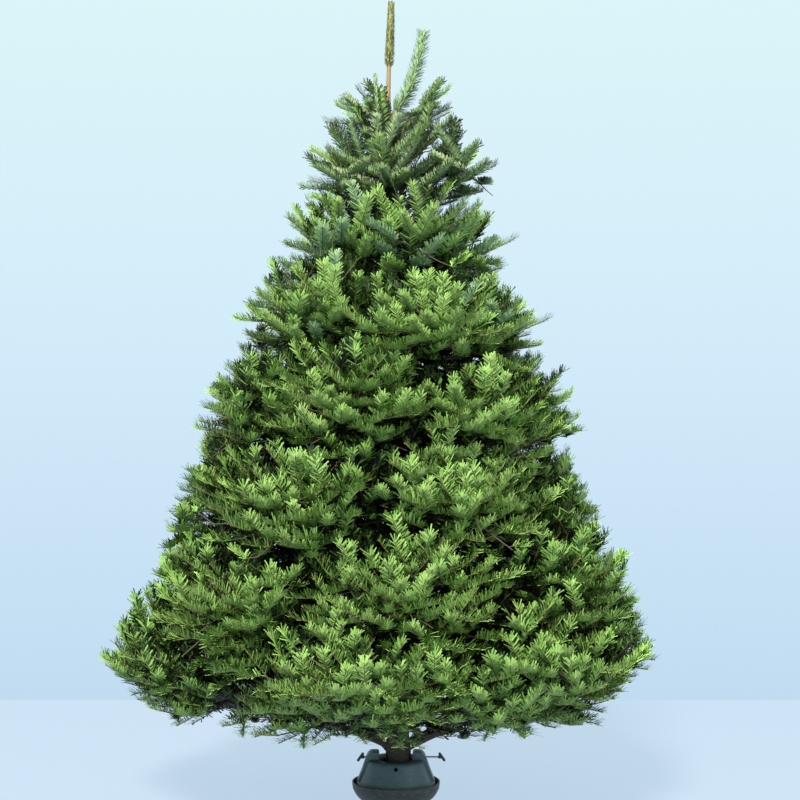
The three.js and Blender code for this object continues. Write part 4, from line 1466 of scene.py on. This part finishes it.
def whorl_swelling(heights):
    """The trunk is a little thicker where the boughs of a tier leave it."""
    swell = np.zeros(len(heights))
    for bough in BOUGHS:
        attach = bough.ends[0][2]
        swell += WHORL_SWELL * np.exp(-((heights - attach) / WHORL_REACH) ** 2)
    return swell


def build_bare_boughs(bark):
    for i, bough in enumerate([b for b in BOUGHS if b.bare > 0]):
        shares = np.linspace(FIRST_SHARE, bough.bare, BOUGH_RINGS)
        collar = 1 + COLLAR_THICKER * np.exp(-shares / bough.bare / COLLAR_REACH)
        radii = bough.radius(shares) * collar
        maker = limb_maker(
            bough.point(shares), radii, BOUGH_SIDES, BOUGH_RELIEF, BARE_BOUGH_SEED + i)
        piece = new_piece(f"bark_bough_{i + 1}", maker, bark, BARK_SHARP)
        settle(piece, [f"bough_{i + 1}"])


def build_inner_boughs(bark):
    """The boughs' run through their foliage, up to where the last shoot takes over."""
    paths, radii = [], []
    for bough in BOUGHS:
        first = bough.bare if bough.bare > 0 else FIRST_SHARE
        shares = np.linspace(first, 1 - 0.1 / bough.length, 14)
        paths.append(bough.point(shares))
        radii.append(bough.radius(shares))
    settle(tube_piece("foliage_boughs", [tubes(paths, radii, 10)], [bark]))


# Foliage pieces

def tone_of(shoots, rng):
    """Deals a green to each shoot, and the pale colour of its needles' undersides.

    Low shoots are lighter, and steep and high ones darker. Deep ones, and those at the left and right
    flanks, are darker as painted shade, and the deepest get dark undersides as painted shade.
    """
    count = len(shoots.length)
    z = shoots.base[:, 2]
    # Painted shade: the deeper inside the crown, the darker the green
    light = TONE_OUTSIDE - INNER_PAINTED_SHADE_PER_METRE * np.clip(shoots.depth, 0, DEEPEST)
    light += rng.normal(0, TONE_SPREAD, count)
    light += LOW_LIGHTER * np.clip(LIGHTER_BELOW_Z - z, 0, 1)
    # Painted shade at the left and right flanks: darker with the distance along X from the middle
    flank = np.abs(shoots.base[:, 0]) / crown_radius(z, 0.0)
    light -= FLANK_PAINTED_SHADE * rise(flank, FLANK_FROM, FLANK_RUN)
    light -= STEEP_DARKER * rise(shoots.axis[:, 2], STEEP_FROM, STEEP_RUN)
    light -= HIGH_DARKER * rise(z, TOP_FROM_Z, TOP_RUN)
    upper = np.clip(np.round(light), 0, TONE_LIGHTEST).astype(int)
    chance = np.clip((z - BLUISH_FROM_Z) * BLUISH_PER_METRE, 0, MOST_BLUISH)
    bluish = (rng.random(count) < chance) & (upper > 0)
    upper[bluish] = np.where(upper[bluish] < TONE_LIGHTEST, BLUISH, BLUISH + 1)
    lower = FIRST_SILVER + np.clip(np.round(rng.normal(0.4 + z / 2, 0.7, count)), 0, 2).astype(int)
    # Painted shade: the deepest shoots get the darkest underside colour
    lower[upper == 0] = FIRST_SILVER
    return upper, lower


def build_needles(shoots, finishes):
    rng = np.random.default_rng(TWIG_SEED + 1)
    upper, lower = tone_of(shoots, rng)
    inside = shoots.depth > PLAIN_DEPTH
    z = shoots.base[:, 2]
    layers = {
        "low_needles": (~inside & (z < EYE_Z), {
            "needle_length": 0.027, "density": 1050, "half_width": 0.0017, "angles": (1.35, 0.8),
            "ruffle": 0.32, "upsweep": 0.42, "plain": True}),
        "needles": (~inside & (z >= EYE_Z) & (z < TOP_Z), {
            "needle_length": 0.026, "density": 1150, "half_width": 0.0016, "ruffle": 0.22,
            "plain": True}),
        "top_needles": (~inside & (z >= TOP_Z), {
            "needle_length": 0.026, "density": 1450, "half_width": 0.0016, "angles": (1.2, 0.9),
            "ruffle": 0.14}),
        "inner_needles": (inside, {"density": 460, "half_width": 0.0031, "plain": True}),
    }
    for name, (layer, options) in layers.items():
        build_layer(name, shoots, layer, upper, lower, finishes, rng, options)


# Masses that some piece already stands for
REPLACED = set()


def build_layer(name, shoots, layer, upper, lower, finishes, rng, options):
    """The needles of one layer of the crown, as a few pieces of neighbouring masses."""
    templates = []
    for length in SHOOT_LENGTHS:
        for _ in range(TEMPLATES_PER_LENGTH):
            templates.append(needle_set(length, rng, **options))
    kind = np.abs(shoots.length[:, None] - np.array(SHOOT_LENGTHS)).argmin(1)
    pick = kind * TEMPLATES_PER_LENGTH + rng.integers(0, TEMPLATES_PER_LENGTH, len(kind))
    triangles = 2 if options.get("plain") else 3
    weight = np.array([len(t[0]) * triangles for t in templates])[pick] * layer
    for number, masses in enumerate(group_masses(shoots.owner, weight)):
        member = np.isin(shoots.owner, masses) & layer
        blocks, tones = [], []
        for index, template in enumerate(templates):
            chosen = np.flatnonzero(member & (pick == index))
            if not len(chosen):
                continue
            length = SHOOT_LENGTHS[index // TEMPLATES_PER_LENGTH]
            blocks.append(place_needles(
                template, shoots.base[chosen], shoots.axis[chosen], shoots.length[chosen], length))
            tones.append((upper[chosen], lower[chosen]))
        piece = needle_piece(f"{name}_{number + 1}", blocks, tones, finishes)
        replaced = [m for m in masses if m not in REPLACED]
        REPLACED.update(masses)
        settle(piece, [BOUGHS[m].name for m in replaced])


def group_masses(owner, weight):
    """Neighbouring masses share a piece as long as it stays small enough."""
    groups, total = [[]], 0
    for mass in range(len(BOUGHS)):
        size = weight[owner == mass].sum()
        if not size:
            continue
        if total + size > PIECE_TRIANGLES:
            groups.append([])
            total = 0
        groups[-1].append(mass)
        total += size
    return groups


def bent_paths(base, axis, length):
    run = length[:, None] * PATH_SHARES
    paths = base[:, None] + axis[:, None] * run[..., None]
    return paths + (shoot_bend(base)[:, None] * run ** 2 / length[:, None])[..., None] * UP


def twig_paths(twigs, chosen):
    return np.stack([twigs.point(chosen, np.full(len(chosen), t)) for t in PATH_SHARES], 1)


def build_twigs(shoots, first, finer, old, young):
    """The twigs that bear a shoot, and the stem of every shoot."""
    bearing = np.unique(shoots.twig[shoots.twig >= 0])
    fine = bearing[bearing >= len(first.length)] - len(first.length)
    stout = np.union1d(bearing[bearing < len(first.length)], finer.parent[fine])
    sets = []
    for twigs, chosen, scale in ((first, stout, 1.0), (finer, fine, FINER_THINNER)):
        radii = np.tile(TWIG_TAPER, (len(chosen), 1)) * TWIG_RADIUS * scale
        sets.append(tubes(twig_paths(twigs, chosen), radii, 4))
    stems = bent_paths(shoots.base, shoots.axis, shoots.length)
    sets.append(tubes(stems, np.tile(SHOOT_TAPER, (len(stems), 1)) * SHOOT_RADIUS, 3))
    settle(tube_piece("twigs", sets, [old, old, young]))


def build_buds(growth, finish):
    """A small closed bud at the tip of each outer shoot."""
    outer = growth.depth < BUD_DEPTH
    paths = bent_paths(growth.base[outer], growth.axis[outer], growth.length[outer])
    ahead = unit(paths[:, 2] - paths[:, 1])[:, None]
    run = BUD_LENGTH * BUD_SHARES
    centres = paths[:, 2][:, None] - BUD_SUNK * ahead + ahead * run[:, None]
    radii = np.tile(BUD_RADII, (len(centres), 1))
    settle(tube_piece("buds", [tubes(centres, radii, 4)], [finish]))


# Length, opening, number per metre and first place of the needles, and their two colours
UPRIGHT_NEEDLES = {
    "leader_tip": ({
        "needle_length": 0.0155, "angles": (0.85, 0.5), "density": 5600, "first": 0.27,
        "half_width": 0.0015, "crowding": 0.8, "stem": (0.0062, 0.0034),
    }, (LEADER_GREEN, LEADER_GREEN + 1)),
    "side_leader": ({
        "needle_length": 0.03, "angles": (1.3, 0.9), "density": 2700, "first": 0.12,
        "half_width": 0.0016, "stem": (0.0046, 0.002),
    }, (BLUISH + 1, FIRST_SILVER + 1)),
    "front_shoot": ({
        "needle_length": 0.015, "angles": (0.8, 0.5), "density": 900, "first": 0.2,
        "stem": (0.0032, 0.0013),
    }, (BLUISH, BLUISH + 1)),
}
FRONT_SHOOT = Bough(
    "front_shoot", (-0.03, -0.1, 1.64), (-0.045, -0.165, 1.76), (-0.052, -0.17, 1.872), 0.0034)


def upright_needles(shoot, rng, options):
    """Needles all round an upright shoot, carried along its curve."""
    corners, along = needle_set(shoot.length, rng, spread=math.pi, upsweep=0.0, **options)
    share = along[:, 0] / shoot.length
    ahead = shoot.tangent(share)
    side = unit(np.cross(ahead, np.array([0.0, 1.0, 0.0])))
    over = np.cross(side, ahead)
    local = corners.copy()
    local[..., 0] -= along
    placed = shoot.point(share)[:, None] + local[..., 0:1] * ahead[:, None]
    return placed + local[..., 1:2] * over[:, None] + local[..., 2:3] * side[:, None]


def build_uprights(finishes, stem_finishes):
    """The leader and the two upright shoots near it, each with its needles, stem and bud."""
    rng = np.random.default_rng(TWIG_SEED + 2)
    uprights = [leader_from(LEADER_NEEDLES_Z), SIDE_LEADER, FRONT_SHOOT]
    for shoot, stem_finish in zip(uprights, stem_finishes):
        options, greens = UPRIGHT_NEEDLES[shoot.name]
        placed = upright_needles(shoot, rng, options)
        upper = rng.choice(greens, len(placed))
        lower = np.full(len(placed), FIRST_SILVER + 1)
        needles = needle_piece(f"{shoot.name}_needles", [placed[:, None]], [(upper, lower)], finishes)
        settle(needles, [] if shoot is FRONT_SHOOT else [shoot.name])
        shares = np.linspace(0, 1, 24)
        thick, thin = options["stem"]
        stem = tubes([shoot.point(shares)], [thick + (thin - thick) * shares], 12)
        settle(tube_piece(f"{shoot.name}_stem", [stem], [stem_finish]))
        centres = shoot.ends[2] + shoot.tangent(1.0) * UPRIGHT_BUD_ALONG[:, None]
        bud = tubes([centres], [UPRIGHT_BUD_RADII], 10)
        settle(tube_piece(f"{shoot.name}_bud", [bud], [stem_finish]))


# Stage, camera and light

def build_stage():
    bm = bmesh.new()
    bmesh.ops.create_grid(bm, x_segments=1, y_segments=1, size=STAGE_HALF)
    mesh = bpy.data.meshes.new("floor")
    bm.to_mesh(mesh)
    bm.free()
    finish = Finish(
        "floor_paper", Base_Color=paint(54, 57, 59), Roughness=0.9,
        Emission_Color=(0.47, 0.60, 0.74, 1.0), Emission_Strength=1.0,
    )
    mesh.materials.append(finish.material)
    link("floor", mesh)


# The sky's bands, from below the horizon to above it
SKY_COLOURS = [paint(190, 217, 240), paint(210, 235, 250), paint(221, 246, 249)]


def build_sky():
    world = bpy.data.worlds.new("studio")
    nodes = Nodes(world)
    spot = nodes.node("ShaderNodeTexCoord", output="Object")
    height = nodes.node("ShaderNodeSeparateXYZ", inputs={0: spot}, output="Z")
    share = nodes.node("ShaderNodeMapRange", inputs={
        "Value": height, "From Min": SKY_FROM, "From Max": SKY_TO,
    })
    sky = nodes.node("ShaderNodeValToRGB", inputs={"Fac": share})
    stops = sky.socket.node.color_ramp.elements
    stops.new(0.5)
    for stop, colour in zip(stops, SKY_COLOURS):
        stop.color = colour
    nodes.give(nodes.tree.nodes["Background"].inputs["Color"], sky)
    bpy.context.scene.world = world


def add_light(name, spot, target, size, power, colour):
    lamp = bpy.data.lights.new(name, "AREA")
    lamp.shape = "DISK"
    lamp.size = size
    lamp.energy = power
    lamp.color = colour
    holder = link(name, lamp)
    holder.location = spot
    aim = Vector(target) - Vector(spot)
    holder.rotation_euler = aim.to_track_quat("-Z", "Y").to_euler()


def build_camera():
    data = bpy.data.cameras.new("camera")
    data.lens = LENS
    data.sensor_width = SENSOR
    data.clip_end = 200
    holder = link("camera", data)
    holder.location = CAMERA
    holder.rotation_euler = (math.pi / 2, 0, 0)
    bpy.context.scene.camera = holder


# Assembly

build_camera()
build_stage()
build_sky()
add_light(
    "key", spot=(-1.6, -6.8, 6.6), target=(0, 0, 1.0), size=2.0, power=2600, colour=(1.0, 0.98, 0.94))
add_light(
    "fill", spot=(3.6, -3.2, 2.2), target=(0, 0, 0.9), size=2.4, power=70, colour=(0.97, 0.99, 1.0))
bpy.context.scene.view_settings.view_transform = "Standard"

bark = bark_finish("trunk_bark", paint(38, 34, 28), paint(62, 55, 46), relief=0.0006)
old_twig = twig_finish("old_twig", paint(62, 51, 38), paint(46, 38, 28))
young_twig = twig_finish("young_twig", paint(112, 88, 52), paint(88, 74, 42))
bud_brown = twig_finish("bud_brown", paint(148, 104, 58), paint(118, 80, 44))
dish_plastic = plastic_finish("dish_plastic", paint(24, 23, 21), paint(35, 33, 30), roughness=0.44)
shell_plastic = plastic_finish("shell_plastic", paint(58, 81, 83), paint(68, 91, 93), roughness=0.38)
grip_plastic = plastic_finish("grip_plastic", paint(26, 27, 28), paint(38, 39, 40), roughness=0.42)

build_dish(dish_plastic)
build_shell(shell_plastic)
steel = steel_finish()
build_screw("threaded_screw_right", "screw_right", steel)
build_screw("threaded_screw_left", "screw_left", steel)
build_grip("slanted_grip_right", "grip_right", SCREW_RIGHT_END, grip_plastic)
build_grip("slanted_grip_left", "grip_left", SCREW_LEFT_END, grip_plastic)

leader_bark = twig_finish("leader_bark", paint(124, 98, 62), paint(98, 82, 54))
build_trunk(bark, wood_finish(), leader_bark)
build_bare_boughs(bark)
build_inner_boughs(bark)

needle_colours = needle_finishes()
foliage, first_twigs, finer_twigs = grow_foliage()
build_needles(foliage, needle_colours)
build_twigs(foliage, first_twigs, finer_twigs, old_twig, young_twig)
build_buds(foliage, bud_brown)
build_uprights(needle_colours, [leader_bark, young_twig, leader_bark])
